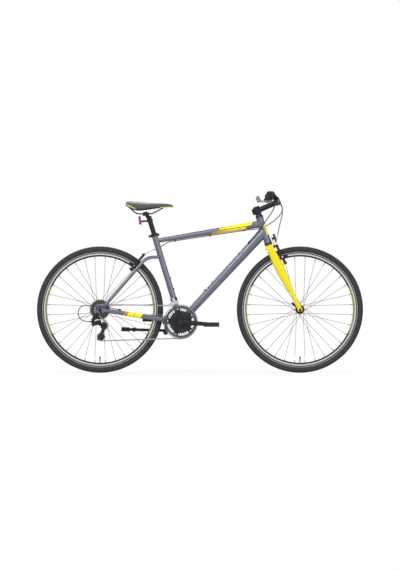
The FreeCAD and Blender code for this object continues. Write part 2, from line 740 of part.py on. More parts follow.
def fork_tip():
    """The left tip plate: a rounded tab with a slot open downwards for the axle."""
    slot = mm.axle_radius + mm.running_gap
    tab = strap((0, 0), (BLADE_UP.x * 40, BLADE_UP.z * 40), 13, 9, mm.fork_tip_thickness)
    tab = tab.cut([
        Part.makeCylinder(slot, mm.fork_tip_thickness),
        slab((-slot, -20, 0), (slot, 0, mm.fork_tip_thickness)),
    ])
    tab.Placement = TIP_FRAME
    tab.translate(V(0, mm.front_axle_half + mm.fork_tip_thickness, 0))
    return max(tab.cut(blade_solid).Solids, key=lambda solid: solid.Volume)


FRONT_BOSS_LENGTH = 33
front_boss = FRONT + BLADE_UP * mm.front_brake_pivot + SIDEWAYS * blade_side(mm.front_brake_pivot)
front_post = fused([
    bar(front_boss, front_boss + BLADE_AHEAD * FRONT_BOSS_LENGTH, 7),
    bar(front_boss, front_boss + BLADE_AHEAD * (FRONT_BOSS_LENGTH + POST_LENGTH), mm.brake_post_radius),
]).cut(blade_solid)
front_post = max(front_post.Solids, key=lambda solid: solid.CenterOfMass.x)
left_tip = fork_tip()
fork_solids = [steerer, crown, left_blade, mirrored(left_blade), left_tip, mirrored(left_tip)]
front_post_end = front_boss + BLADE_AHEAD * (FRONT_BOSS_LENGTH + POST_LENGTH)
front_post_bolt = bar(front_post_end, front_post_end + BLADE_AHEAD * 2.5, 6.5)
fork_solids += [front_post, mirrored(front_post), front_post_bolt, mirrored(front_post_bolt)]
shaped("fork", Part.makeCompound([solid for shape in fork_solids for solid in shape.Solids]))

# Stem: a split clamp on the steerer, the extension, and a bar clamp with its face plate and bolts
STEM_MIDDLE = STEM_BASE + mm.stem_clamp_height / 2
BAR_UP = STEM_MIDDLE + mm.stem_rise
bar_middle = steer(mm.stem_reach, 0, BAR_UP)
stem_run = (bar_middle - steer(0, 0, STEM_MIDDLE)).normalize()
half_clamp = mm.bar_clamp_width / 2
clamp_axis = (bar_middle - SIDEWAYS * half_clamp, bar_middle + SIDEWAYS * half_clamp)
FACE_GAP = 0.75
face_block = slab((FACE_GAP, -30, -40), (60, 30, 40), frame_at(bar_middle, stem_run.cross(SIDEWAYS), stem_run))
rear_block = slab((-FACE_GAP, -30, -40), (60, 30, 40), frame_at(bar_middle, stem_run.cross(SIDEWAYS), stem_run))
EAR_REACH = 29
stem_ears = slab((-EAR_REACH, -10, STEM_BASE + 4), (-10, 10, STEM_TOP - 4), STEER_FRAME)
steerer_hole = bar(steer(0, 0, STEM_BASE - 1), steer(0, 0, STEM_TOP + 1), mm.steerer_radius + mm.running_gap)
bar_hole = bar(clamp_axis[0], clamp_axis[1], mm.bar_bulge_radius + mm.running_gap)
stem_slot = slab((-EAR_REACH - 1, -1, STEM_BASE - 1), (-10, 1, STEM_TOP + 1), STEER_FRAME)
pinch_lines = [
    (steer(-EAR_REACH + 6, -14, height), steer(-EAR_REACH + 6, 10, height)) for height in (STEM_BASE + 11, STEM_TOP - 11)
]
pinch_holes = [bar(start, end, 2.5) for start, end in pinch_lines]
stem_body = fused([
    bar(steer(0, 0, STEM_BASE), steer(0, 0, STEM_TOP), mm.stem_clamp_radius),
    bar(steer(0, 0, STEM_MIDDLE), bar_middle, mm.stem_tube_radius),
    bar(clamp_axis[0], clamp_axis[1], mm.bar_clamp_radius),
    stem_ears,
]).cut([steerer_hole, bar_hole, stem_slot, rear_block] + pinch_holes)
stem_body = max(stem_body.Solids, key=lambda solid: solid.Volume)
face_up = stem_run.cross(SIDEWAYS) * -1
face_bolt_lines = []
for side in (RIGHT, LEFT):
    for height in (-1, 1):
        middle = bar_middle + SIDEWAYS * side * 14 + face_up * height * (mm.bar_bulge_radius + 4)
        face_bolt_lines.append((middle + stem_run * FACE_GAP, middle + stem_run * 14))
face_plate = bar(clamp_axis[0], clamp_axis[1], mm.bar_clamp_radius).common(face_block)
face_plate = face_plate.cut([bar_hole] + [bar(start, end + stem_run * 30, 2.5) for start, end in face_bolt_lines])
face_bolts = [
    fused([bar(start, end, 2.5), bar(end, end + stem_run * 4, 4)]).cut(
        bar(clamp_axis[0], clamp_axis[1], mm.bar_clamp_radius).cut(bar(start, end, 2.6))
    )
    for start, end in face_bolt_lines
]
face_bolts = [max(bolt.Solids, key=lambda solid: solid.Volume) for bolt in face_bolts]
pinch_bolts = [fused([bar(start, end, 2.5), bar(start, start + SIDEWAYS * 4, 4.5)]) for start, end in pinch_lines]
spacer = tube(steer(0, 0, STEM_BASE - mm.spacer_height), steer(0, 0, STEM_BASE), mm.stem_clamp_radius - 2,
              mm.steerer_radius + mm.running_gap)
stem_cap = fused([
    bar(steer(0, 0, STEM_TOP), steer(0, 0, STEM_TOP + 4), mm.stem_clamp_radius - 1),
    bar(steer(0, 0, STEERER_TOP - 25), steer(0, 0, STEM_TOP + 5), 3),
])
stem_solids = [stem_body, face_plate, spacer, stem_cap] + face_bolts + pinch_bolts
shaped("stem", Part.makeCompound([solid for shape in stem_solids for solid in shape.Solids]))

# Handlebar: a riser bar swept back a little, thicker where the stem holds it
BAR_BEND = 55


def bar_points(side):
    """The bar's bend and end points on one side, from the middle outwards."""
    return [
        steer(mm.stem_reach, side * 48, BAR_UP),
        steer(mm.stem_reach - 8, side * 125, BAR_UP + mm.bar_rise - 8),
        steer(mm.stem_reach - mm.bar_sweep, side * mm.bar_half_width, BAR_UP + mm.bar_rise),
    ]


bar_line = route(bar_points(RIGHT)[::-1] + bar_points(LEFT), [BAR_BEND] * 4)
bulge_half = half_clamp + 6
handlebar = fused([
    swept(bar_line, mm.bar_radius),
    bar(bar_middle - SIDEWAYS * bulge_half, bar_middle + SIDEWAYS * bulge_half, mm.bar_bulge_radius),
]).cut(swept(bar_line, mm.bar_radius - mm.bar_wall))
shaped("handlebar", handlebar)


def bar_outward(side):
    """The direction of the bar's straight end, pointing out of the grip."""
    inner, end = bar_points(side)[1:]
    return (end - inner).normalize()


grips = []
for side, name in ((RIGHT, "right"), (LEFT, "left")):
    outward = bar_outward(side)
    grips.append(turned(
        name + "_grip",
        [
            ("0", "0"),
            ("grip_radius - 3", "0"),
            ("grip_radius", "3"),
            ("grip_radius", "0.3*grip_length"),
            ("grip_radius - 1", "0.55*grip_length"),
            ("grip_radius", "grip_length - 6"),
            ("grip_radius + 2", "grip_length - 6"),
            ("grip_radius + 2", "grip_length"),
            ("bar_radius + running_gap", "grip_length"),
            ("bar_radius + running_gap", "2.6"),
            ("0", "2.6"),
        ],
        frame_at(bar_points(side)[2] + outward * 3, outward * -1),
    ))
group("grips", grips)

# Brake lever brackets with shifter pods, clamped to the bar beside the grips
LEVER_TILT = math.radians(42)
LEVER_THICKNESS = 9.6
BRACKET_DEPTH = 20
PIVOT_OUT, PIVOT_AHEAD = 2, 37
LEVER_REACH = 112
POD_RADIUS = 21
POD_HEIGHT = 17
POD_BEHIND = 22
POD_BELOW = 15.4
THUMB_THICKNESS = 5


def control_frame(side):
    """A frame on the bar inside the grip: X out along the bar, Y towards the lever, Z square to both."""
    outward = bar_outward(side)
    place = bar_points(side)[2] - outward * (mm.grip_length + 9)
    ahead = V(math.cos(LEVER_TILT), 0, -math.sin(LEVER_TILT))
    ahead = (ahead - outward * ahead.dot(outward)).normalize()
    return frame_at(place, outward.cross(ahead), outward)


def pod_middle(side):
    """The middle of the shifter pod's top face."""
    place = control_frame(side).Base - bar_outward(side) * 12
    return place + V(-POD_BEHIND, 0, -POD_BELOW)


def bracket(side):
    """The lever bracket, its barrel adjuster, pivot pin and shifter pod."""
    half = BRACKET_DEPTH / 2
    ring = Part.makeCylinder(mm.bar_radius + 4, 18, V(-9, 0, 0), V(1, 0, 0))
    neck = strap((-2, 8), (PIVOT_OUT, PIVOT_AHEAD), 10, 9, BRACKET_DEPTH)
    barrel = bar(V(-4, 28, half), V(-30, 28, half), 7)
    adjuster = bar(V(-30, 28, half), V(-44, 28, half), 5)
    for piece in (neck, barrel, adjuster):
        piece.translate(V(0, 0, -half))
    bar_bore = Part.makeCylinder(mm.bar_radius + mm.running_gap, 40, V(-20, 0, 0), V(1, 0, 0))
    slot_half = LEVER_THICKNESS / 2 + mm.side_gap
    lever_slot = slab((PIVOT_OUT - 9, 23, -slot_half), (60, 60, slot_half))
    pin_hole = Part.makeCylinder(2.5, BRACKET_DEPTH, V(PIVOT_OUT, PIVOT_AHEAD, -half))
    housing = fused([ring, neck, barrel, adjuster]).cut([bar_bore, lever_slot, pin_hole])
    housing.Placement = control_frame(side)
    pin = pin_hole.copy()
    pin.Placement = control_frame(side)
    top = pod_middle(side)
    pod = Part.makeCylinder(POD_RADIUS, POD_HEIGHT, top - V(0, 0, POD_HEIGHT))
    pod = pod.makeFillet(4, [edge for edge in pod.Edges if edge.Length > POD_RADIUS * 4])
    screw_end = top - V(0, 0, POD_HEIGHT + THUMB_THICKNESS + 2 * mm.side_gap)
    screw = fused([bar(top - V(0, 0, POD_HEIGHT), screw_end, 3), bar(screw_end, screw_end - V(0, 0, 2), 6)])
    return [max(housing.Solids, key=lambda solid: solid.Volume), pin, pod, screw]


shaped("brake_shift_housings", Part.makeCompound(bracket(RIGHT) + bracket(LEFT)))


def brake_lever(label, side):
    """A lever blade: a pivot boss, a cam foot and a long finger blade curving in front of the grip."""
    boss = strap((PIVOT_OUT, PIVOT_AHEAD), (PIVOT_OUT + 26, PIVOT_AHEAD + 8), 7, 6, LEVER_THICKNESS)
    middle = strap((PIVOT_OUT + 26, PIVOT_AHEAD + 8), (PIVOT_OUT + 72, PIVOT_AHEAD + 22), 6, 5, LEVER_THICKNESS)
    tip = strap((PIVOT_OUT + 72, PIVOT_AHEAD + 22), (PIVOT_OUT + LEVER_REACH, PIVOT_AHEAD + 20), 5, 6, LEVER_THICKNESS)
    hole = Part.makeCylinder(2.5 + mm.running_gap, LEVER_THICKNESS, V(PIVOT_OUT, PIVOT_AHEAD, 0))
    lever = fused([boss, middle, tip]).cut(hole)
    lever.translate(V(0, 0, -LEVER_THICKNESS / 2))
    lever.Placement = control_frame(side).multiply(lever.Placement)
    shaped(label, lever)


brake_lever("right_brake_lever", RIGHT)
brake_lever("left_brake_lever", LEFT)


def thumb_lever(label, side):
    """A thumb lever under the pod: a round hub, an arm towards the rider and an upturned paddle."""
    hub = Part.makeCylinder(13, THUMB_THICKNESS)
    arm = strap((0, 0), (-52, -side * 6), 9, 8, THUMB_THICKNESS)
    upright = FreeCAD.Placement(V(0, -side * 6 + 3, 0), FreeCAD.Rotation(V(1, 0, 0), 90))
    paddle = strap((-48, 5), (-58, 22), 8, 8, 6, upright)
    below = slab((-80, -40, -30), (20, 40, 0))
    bore = Part.makeCylinder(3 + mm.running_gap, THUMB_THICKNESS)
    lever = fused([hub, arm, paddle]).cut([bore, below])
    lever.Placement = FreeCAD.Placement(
        pod_middle(side) - V(0, 0, POD_HEIGHT + mm.side_gap + THUMB_THICKNESS), FreeCAD.Rotation()
    )
    shaped(label, lever)


thumb_lever("right_thumb_lever", RIGHT)
thumb_lever("left_thumb_lever", LEFT)

# Wheels: rim, tyre, inner tube with its valve, crossed spokes with nipples, and hub
HALF_RIM = mm.rim_width / 2
FLANGE_INSIDE = HALF_RIM - mm.rim_wall + 0.2
HALF_TYRE = mm.tyre_width / 2
BEAD_GAP = 0.3
NIPPLE_END = mm.rim_inner_radius - 0.5
SPOKE_SIT = {1: mm.flange_thickness / 2 + mm.spoke_radius + 1.2, -1: mm.flange_thickness / 2 + mm.spoke_radius + 0.1}
SPOKE_CROSS = math.radians(67.5)
SPOKE_STEP = 2 * math.pi / mm.spoke_count
VALVE_DOWN = V(0, 0, -1)


def about(centre, radius, angle, side):
    """A point at a radius and angle round a crosswise axis, at a sideways place."""
    return V(centre.x + radius * math.cos(angle), side, centre.z + radius * math.sin(angle))


def rim(label, centre):
    """A double walled rim with flat brake tracks, a tyre well and a valve hole."""
    ring = turned(
        label + "_ring",
        [
            ("rim_inner_radius", "-0.25*rim_width"),
            ("rim_seat_radius - 11", "-0.5*rim_width"),
            ("rim_flange_radius", "-0.5*rim_width"),
            ("rim_flange_radius", "-0.5*rim_width + rim_wall - 0.2"),
            ("rim_seat_radius", "-0.5*rim_width + rim_wall - 0.2"),
            ("rim_seat_radius - 4", "-0.17*rim_width"),
            ("rim_seat_radius - 4", "0.17*rim_width"),
            ("rim_seat_radius", "0.5*rim_width - rim_wall + 0.2"),
            ("rim_flange_radius", "0.5*rim_width - rim_wall + 0.2"),
            ("rim_flange_radius", "0.5*rim_width"),
            ("rim_seat_radius - 11", "0.5*rim_width"),
            ("rim_inner_radius", "0.25*rim_width"),
        ],
        frame_at(centre, SIDEWAYS),
        [
            ("rim_inner_radius + 1.4*rim_wall", "-0.2*rim_width"),
            ("rim_seat_radius - 10.5", "-0.5*rim_width + rim_wall"),
            ("rim_seat_radius - 4", "-0.5*rim_width + rim_wall"),
            ("rim_seat_radius - 4 - rim_wall", "-0.17*rim_width"),
            ("rim_seat_radius - 4 - rim_wall", "0.17*rim_width"),
            ("rim_seat_radius - 4", "0.5*rim_width - rim_wall"),
            ("rim_seat_radius - 10.5", "0.5*rim_width - rim_wall"),
            ("rim_inner_radius + 1.4*rim_wall", "0.2*rim_width"),
        ],
    )
    hole = rod(
        label + "_valve_hole",
        "valve_radius + 0.15",
        "rim_flange_radius - rim_inner_radius",
        frame_at(centre + VALVE_DOWN * (mm.rim_inner_radius - 1), VALVE_DOWN),
    )
    less(label, ring, hole)


def tyre(label, centre):
    """A tyre casing: beads inside the rim's flanges, round sides and a shallower crowned tread."""
    bead = FLANGE_INSIDE - BEAD_GAP
    toe = bead - mm.tyre_wall * 0.75
    heel = mm.rim_seat_radius + BEAD_GAP
    shoulder = (HALF_TYRE - 3.5, mm.tyre_radius - 6.5)
    flank = (HALF_TYRE, mm.tyre_radius - 18.5)
    lip = mm.rim_flange_radius + 2 * BEAD_GAP
    inner_flank = (flank[0] - mm.tyre_wall, flank[1])
    inner_shoulder = (shoulder[0] - mm.tyre_wall + 0.6, shoulder[1] - 2)

    def spot(side, radius):
        return V(centre.x, side, centre.z + radius)

    def straight(start, end):
        return Part.LineSegment(spot(*start), spot(*end)).toShape()

    def bowed(start, middle, end):
        return Part.Arc(spot(*start), spot(*middle), spot(*end)).toShape()

    def other(place):
        return (-place[0], place[1])

    left = [(toe, heel), (bead, heel), (bead, lip), flank, shoulder]
    inside = [(toe, lip), inner_flank, inner_shoulder]
    edges = [
        straight(left[0], left[1]),
        straight(left[1], left[2]),
        bowed(left[2], left[3], left[4]),
        bowed(left[4], (0, mm.tyre_radius), other(left[4])),
        bowed(other(left[4]), other(left[3]), other(left[2])),
        straight(other(left[2]), other(left[1])),
        straight(other(left[1]), other(left[0])),
        straight(other(left[0]), other(inside[0])),
        bowed(other(inside[0]), other(inside[1]), other(inside[2])),
        bowed(other(inside[2]), (0, mm.tyre_radius - mm.tyre_wall), inside[2]),
        bowed(inside[2], inside[1], inside[0]),
        straight(inside[0], left[0]),
    ]
    shaped(label, Part.Face(Part.Wire(edges)).revolve(centre, SIDEWAYS, 360))


TUBE_MIDDLE = mm.rim_flange_radius + mm.tube_radius - 1.8


def inner_tube(label, centre):
    """An inner tube with its valve stem through the rim and a cap on the stem."""
    outer = Part.makeTorus(TUBE_MIDDLE, mm.tube_radius, centre, SIDEWAYS)
    hollow = Part.makeTorus(TUBE_MIDDLE, mm.tube_radius - mm.tube_wall, centre, SIDEWAYS)
    root = centre + VALVE_DOWN * (TUBE_MIDDLE - mm.tube_radius + mm.tube_wall / 2)
    end = centre + VALVE_DOWN * (mm.rim_inner_radius - mm.valve_length)
    stem = bar(root, end, mm.valve_radius)
    cap = bar(end + VALVE_DOWN * 14, end, mm.valve_radius + 1)
    shaped(label, fused([outer.cut(hollow), stem, cap]))


def spokes(label, centre, flanges):
    """Crossed spokes: each a head, a stub through the flange, an elbow, the wire and its nipple in one."""
    pieces = []
    for index in range(int(mm.spoke_count)):
        side = LEFT if index % 2 == 0 else RIGHT
        lead = 1 if (index // 2) % 2 == 0 else -1
        rim_angle = (index + 0.5) * SPOKE_STEP
        hub_angle = rim_angle + lead * SPOKE_CROSS
        flange = flanges[side]
        elbow = about(centre, mm.flange_hole_radius, hub_angle, flange + lead * SPOKE_SIT[lead * side])
        stub_end = about(centre, mm.flange_hole_radius, hub_angle, flange - lead * (mm.flange_thickness / 2 + 0.1))
        head_end = stub_end - SIDEWAYS * lead
        end = about(centre, NIPPLE_END, rim_angle, side * 1.5)
        inward = (elbow - end).normalize()
        pieces.append(fused([
            bar(elbow, end, mm.spoke_radius),
            Part.makeSphere(mm.spoke_radius, elbow),
            bar(elbow, head_end, mm.spoke_radius),
            bar(stub_end, head_end, mm.spoke_radius * 1.8),
            bar(end, end + inward * mm.nipple_length, mm.nipple_radius),
        ]))
    shaped(label, Part.makeCompound([solid for piece in pieces for solid in piece.Solids]))


def spoke_holes(centre, flanges):
    """The round holes in both flanges where the spokes hook in."""
    holes = []
    for index in range(int(mm.spoke_count)):
        side = LEFT if index % 2 == 0 else RIGHT
        lead = 1 if (index // 2) % 2 == 0 else -1
        angle = (index + 0.5) * SPOKE_STEP + lead * SPOKE_CROSS
        start = about(centre, mm.flange_hole_radius, angle, flanges[side] - mm.flange_thickness)
        holes.append(bar(start, start + SIDEWAYS * 2 * mm.flange_thickness, mm.spoke_radius + 0.2))
    return Part.makeCompound(holes)


FRONT_FLANGES = {LEFT: mm.front_flange_place, RIGHT: -mm.front_flange_place}
REAR_FLANGES = {LEFT: mm.rear_flange_left, RIGHT: -mm.rear_flange_right}
rim("front_rim", FRONT)
tyre("front_tyre", FRONT)
inner_tube("front_inner_tube", FRONT)
spokes("front_spokes", FRONT, FRONT_FLANGES)
rim("rear_rim", REAR)
tyre("rear_tyre", REAR)
inner_tube("rear_inner_tube", REAR)
spokes("rear_spokes", REAR, REAR_FLANGES)
front_barrel = turned(
    "front_hub_barrel",
    [
        ("axle_radius + running_gap", "-front_hub_half"),
        ("cone_radius + 3", "-front_hub_half"),
        ("cone_radius + 3", "-front_flange_place - 0.5*flange_thickness"),
        ("flange_radius", "-front_flange_place - 0.5*flange_thickness"),
        ("flange_radius", "-front_flange_place + 0.5*flange_thickness"),
        ("front_hub_radius", "-front_flange_place + 0.5*flange_thickness"),
        ("front_hub_radius", "front_flange_place - 0.5*flange_thickness"),
        ("flange_radius", "front_flange_place - 0.5*flange_thickness"),
        ("flange_radius", "front_flange_place + 0.5*flange_thickness"),
        ("cone_radius + 3", "front_flange_place + 0.5*flange_thickness"),
        ("cone_radius + 3", "front_hub_half"),
        ("axle_radius + running_gap", "front_hub_half"),
    ],
    frame_at(FRONT, SIDEWAYS),
)
less("front_hub", front_barrel, shaped("front_hub_holes", spoke_holes(FRONT, FRONT_FLANGES)))
rear_barrel = turned(
    "rear_hub_barrel",
    [
        ("axle_radius + running_gap", "-rear_hub_right"),
        ("freewheel_bore_radius - running_gap", "-rear_hub_right"),
        ("freewheel_bore_radius - running_gap", "-rear_flange_right - 0.5*flange_thickness"),
        ("flange_radius", "-rear_flange_right - 0.5*flange_thickness"),
        ("flange_radius", "-rear_flange_right + 0.5*flange_thickness"),
        ("rear_hub_radius", "-rear_flange_right + 0.5*flange_thickness"),
        ("rear_hub_radius", "rear_flange_left - 0.5*flange_thickness"),
        ("flange_radius", "rear_flange_left - 0.5*flange_thickness"),
        ("flange_radius", "rear_flange_left + 0.5*flange_thickness"),
        ("cone_radius + 3", "rear_flange_left + 0.5*flange_thickness"),
        ("cone_radius + 3", "rear_hub_left"),
        ("axle_radius + running_gap", "rear_hub_left"),
    ],
    frame_at(REAR, SIDEWAYS),
)
less("rear_hub", rear_barrel, shaped("rear_hub_holes", spoke_holes(REAR, REAR_FLANGES)))

# Axles with their cones; the front one is hollow for its quick release skewer, the rear one is nutted
TIP_OUT = mm.front_axle_half + mm.fork_tip_thickness
DROPOUT_OUT = mm.rear_axle_half + mm.dropout_thickness
FRONT_LEVER_ALONG = V(-0.76, 0, 0.65).normalize()
front_hinge = FRONT + SIDEWAYS * (TIP_OUT + CAM_RADIUS + 1.6)
front_nut = FRONT - SIDEWAYS * (TIP_OUT + 6)


def hexagon_bar(start, end, radius):
    """A six sided bar between two points."""
    across = V(1, 0, 0) * radius
    spin = FreeCAD.Rotation(SIDEWAYS, 60)
    corners = [across]
    for _ in range(5):
        corners.append(spin.multVec(corners[-1]))
    wire = Part.makePolygon([start + corner for corner in corners] + [start + corners[0]])
    return Part.Face(wire).extrude(end - start)


def cone(centre, start, end):
    """A bearing cone and locknut on an axle."""
    return tube(centre + SIDEWAYS * start, centre + SIDEWAYS * end, mm.cone_radius, mm.axle_radius + mm.running_gap)


shaped("front_axle", Part.makeCompound([
    tube(FRONT - SIDEWAYS * TIP_OUT, FRONT + SIDEWAYS * TIP_OUT, mm.axle_radius, SKEWER_RADIUS + mm.running_gap),
    cone(FRONT, -mm.front_axle_half, -mm.front_hub_half - mm.side_gap),
    cone(FRONT, mm.front_hub_half + mm.side_gap, mm.front_axle_half),
    tube(FRONT + SIDEWAYS * TIP_OUT, FRONT + SIDEWAYS * (TIP_OUT + 1.2), 7, SKEWER_RADIUS + mm.running_gap),
    skewer_shape(front_nut, front_hinge, FRONT_LEVER_ALONG),
]))
quick_release("front_qr_lever", front_hinge, SIDEWAYS, FRONT_LEVER_ALONG, 52)

AXLE_STICKS_OUT = 13
NUT_HEIGHT = 9
axle_hole = bar(REAR - SIDEWAYS * 120, REAR + SIDEWAYS * 120, mm.axle_radius + mm.running_gap)
rear_nuts = [
    hexagon_bar(REAR + SIDEWAYS * side * DROPOUT_OUT, REAR + SIDEWAYS * side * (DROPOUT_OUT + NUT_HEIGHT), 9.5)
    .cut(axle_hole)
    for side in (RIGHT, LEFT)
]
axle_end = DROPOUT_OUT + AXLE_STICKS_OUT
shaped("rear_axle", Part.makeCompound([
    bar(REAR - SIDEWAYS * axle_end, REAR + SIDEWAYS * axle_end, mm.axle_radius),
    cone(REAR, -mm.rear_axle_half, -mm.rear_hub_right - mm.side_gap),
    cone(REAR, mm.rear_hub_left + mm.side_gap, mm.rear_axle_half),
] + rear_nuts))

# Drive: where the chain runs, solved so that a whole even number of links closes round the wheels
PITCH = mm.chain_pitch


def pitch_radius(teeth):
    """The radius of the circle through the chain's pins on a toothed wheel."""
    return PITCH / (2 * math.sin(math.pi / teeth))


RING_RADIUS = pitch_radius(mm.outer_ring_teeth)
SPROCKET_TEETH = (14, 16, 18, 20, 22, 24, 28)
SPROCKET_RADIUS = pitch_radius(SPROCKET_TEETH[0])
PULLEY_RADIUS = pitch_radius(mm.pulley_teeth)
GUIDE = (REAR.x + mm.guide_pulley_ahead, REAR.z - mm.guide_pulley_drop)


def tension_place(lean):
    """The tension pulley's centre for a cage lean in radians behind straight down."""
    return (GUIDE[0] - mm.cage_length * math.sin(lean), GUIDE[1] - mm.cage_length * math.cos(lean))


def chain_legs(lean):
    """The chain's path as (wheel centre, radius, turn, start angle, swept angle, straight length after it)."""
    wheels = [
        ((CRANK.x, CRANK.z), RING_RADIUS, 1),
        (tension_place(lean), PULLEY_RADIUS, 1),
        (GUIDE, PULLEY_RADIUS, -1),
        ((REAR.x, REAR.z), SPROCKET_RADIUS, 1),
    ]
    headings = []
    lengths = []
    for (here, radius, turn), (there, next_radius, next_turn) in zip(wheels, wheels[1:] + wheels[:1]):
        span = math.dist(here, there)
        rise = (next_turn * next_radius - turn * radius) / span
        headings.append(math.atan2(there[1] - here[1], there[0] - here[0]) + math.asin(rise))
        lengths.append(span * math.cos(math.asin(rise)))
    legs = []
    for index, (centre, radius, turn) in enumerate(wheels):
        arriving, leaving = headings[index - 1], headings[index]
        sweep = (arriving - leaving) * turn % (2 * math.pi)
        legs.append((centre, radius, turn, arriving + turn * math.pi / 2, sweep, lengths[index]))
    return legs


def chain_place(legs, travelled):
    """The point on the chain's path at a distance travelled from the ring's first contact."""
    for centre, radius, turn, start, sweep, straight in legs:
        if travelled <= radius * sweep:
            angle = start - turn * travelled / radius
            return (centre[0] + radius * math.cos(angle), centre[1] + radius * math.sin(angle))
        travelled -= radius * sweep
        if travelled <= straight:
            angle = start - turn * sweep
            heading = angle - turn * math.pi / 2
            return (
                centre[0] + radius * math.cos(angle) + travelled * math.cos(heading),
                centre[1] + radius * math.sin(angle) + travelled * math.sin(heading),
            )
        travelled -= straight
    return chain_place(legs, travelled)


def chain_pins(lean, count):
    """The pins' distances along the path, each one pitch from the last in a straight line."""
    legs = chain_legs(lean)
    travelled = 0.0
    pins = [travelled]
    for _ in range(count):
        here = chain_place(legs, travelled)
        low, high = travelled + 0.9 * PITCH, travelled + 1.3 * PITCH
        for _ in range(48):
            middle = (low + high) / 2
            if math.dist(here, chain_place(legs, middle)) < PITCH:
                low = middle
            else:
                high = middle
        travelled = (low + high) / 2
        pins.append(travelled)
    total = sum(radius * sweep + straight for _, radius, _, _, sweep, straight in legs)
    return pins, travelled - total


START_LEAN = 0.16
rough_legs = chain_legs(START_LEAN)
rough_length = sum(radius * sweep + straight for _, radius, _, _, sweep, straight in rough_legs)
LINK_COUNT = 2 * round(rough_length / PITCH / 2)
lean_low, lean_high = START_LEAN - 0.9, START_LEAN + 0.9
for _ in range(48):
    cage_lean = (lean_low + lean_high) / 2
    if chain_pins(cage_lean, LINK_COUNT)[1] < 0:
        lean_high = cage_lean
    else:
        lean_low = cage_lean
chain_path = chain_legs(cage_lean)
pin_distances = chain_pins(cage_lean, LINK_COUNT)[0][:-1]
pin_places = [chain_place(chain_path, travelled) for travelled in pin_distances]
TENSION = tension_place(cage_lean)
print("chain links", LINK_COUNT, "cage lean", round(math.degrees(cage_lean), 2), "tension pulley", TENSION)


def toothed(teeth, bore, phase, middle):
    """A toothed wheel: a round seat for each roller, straight flanks and narrow tips, with a plain bore."""
    radius = pitch_radius(teeth)
    seat = mm.roller_radius + mm.seat_clearance
    step = 2 * math.pi / teeth
    corners = []
    for index in range(int(teeth)):
        angle = phase + index * step
        centre = V(radius * math.cos(angle), radius * math.sin(angle), 0)
        inward = math.pi + angle
        seats = [
            centre + V(math.cos(inward + swing), math.sin(inward + swing), 0) * seat
            for swing in (math.radians(60), 0, -math.radians(60))
        ]
        tip = radius + mm.tooth_height
        tips = [angle + step / 2 - 0.7 / tip, angle + step / 2 + 0.7 / tip]
        corners.append((seats, [V(tip * math.cos(turn), tip * math.sin(turn), 0) for turn in tips]))
    edges = []
    for (seats, tips), (next_seats, _) in zip(corners, corners[1:] + corners[:1]):
        edges.append(Part.Arc(*seats).toShape())
        edges.append(Part.LineSegment(seats[2], tips[0]).toShape())
        edges.append(Part.LineSegment(tips[0], tips[1]).toShape())
        edges.append(Part.LineSegment(tips[1], next_seats[0]).toShape())
    wheel = Part.Face(Part.Wire(edges)).extrude(V(0, 0, mm.tooth_thickness))
    wheel = wheel.cut(Part.makeCylinder(bore, mm.tooth_thickness))
    wheel.Placement = FreeCAD.Placement(
        middle + SIDEWAYS * mm.tooth_thickness / 2, FreeCAD.Rotation(V(1, 0, 0), V(0, 0, 1), V(0, -1, 0), "XYZ")
    )
    return wheel


def phase_of(leg):
    """The angle of one pin that lies in a wheel's arc, so that its teeth fall between the pins."""
    start = sum(radius * sweep + straight for _, radius, _, _, sweep, straight in chain_path[:leg])
    centre, radius, _, _, sweep, _ = chain_path[leg]
    inside = [place for travelled, place in zip(pin_distances, pin_places) if start <= travelled < start + radius * sweep]
    return math.atan2(inside[0][1] - centre[1], inside[0][0] - centre[0])


CHAIN_SIDE = -mm.chain_line
ring_phase, tension_phase, guide_phase, sprocket_phase = [phase_of(leg) for leg in range(4)]

# Chain: inner links with their rollers and outer links with their pins, in turn round the path
inner_half = mm.roller_width / 2 + mm.plate_thickness
outer_start = inner_half + 0.1
outer_half = outer_start + mm.plate_thickness
pin_half = outer_half + 0.5
PIN_HOLE = mm.pin_radius + 0.05
LINK_END = 4.1


def link_plate(start, thickness, bore):
    """A waisted link plate with two holes, at a height above the chain's middle plane."""
    plate = fused([
        Part.makeCylinder(LINK_END, thickness),
        Part.makeCylinder(LINK_END, thickness, V(PITCH, 0, 0)),
        slab((0, -LINK_END * 0.72, 0), (PITCH, LINK_END * 0.72, thickness)),
    ])
    plate = plate.cut([Part.makeCylinder(bore, thickness), Part.makeCylinder(bore, thickness, V(PITCH, 0, 0))])
    plate.translate(V(0, 0, start))
    return plate


def inner_link():
    """Two plates joined by two rollers."""
    rollers = [
        Part.makeCylinder(mm.roller_radius, mm.roller_width, V(place, 0, -mm.roller_width / 2))
        .cut(Part.makeCylinder(PIN_HOLE, mm.roller_width, V(place, 0, -mm.roller_width / 2)))
        for place in (0, PITCH)
    ]
    plates = [
        link_plate(mm.roller_width / 2, mm.plate_thickness, PIN_HOLE),
        link_plate(-inner_half, mm.plate_thickness, PIN_HOLE),
    ]
    return fused(plates + rollers)


def outer_link():
    """Two plates joined by two pins."""
    pins = [
        Part.makeCylinder(mm.pin_radius, 2 * pin_half, V(place, 0, -pin_half)) for place in (0, PITCH)
    ]
    plates = [
        link_plate(outer_start, mm.plate_thickness, mm.pin_radius / 2),
        link_plate(-outer_half, mm.plate_thickness, mm.pin_radius / 2),
    ]
    return fused(plates + pins)


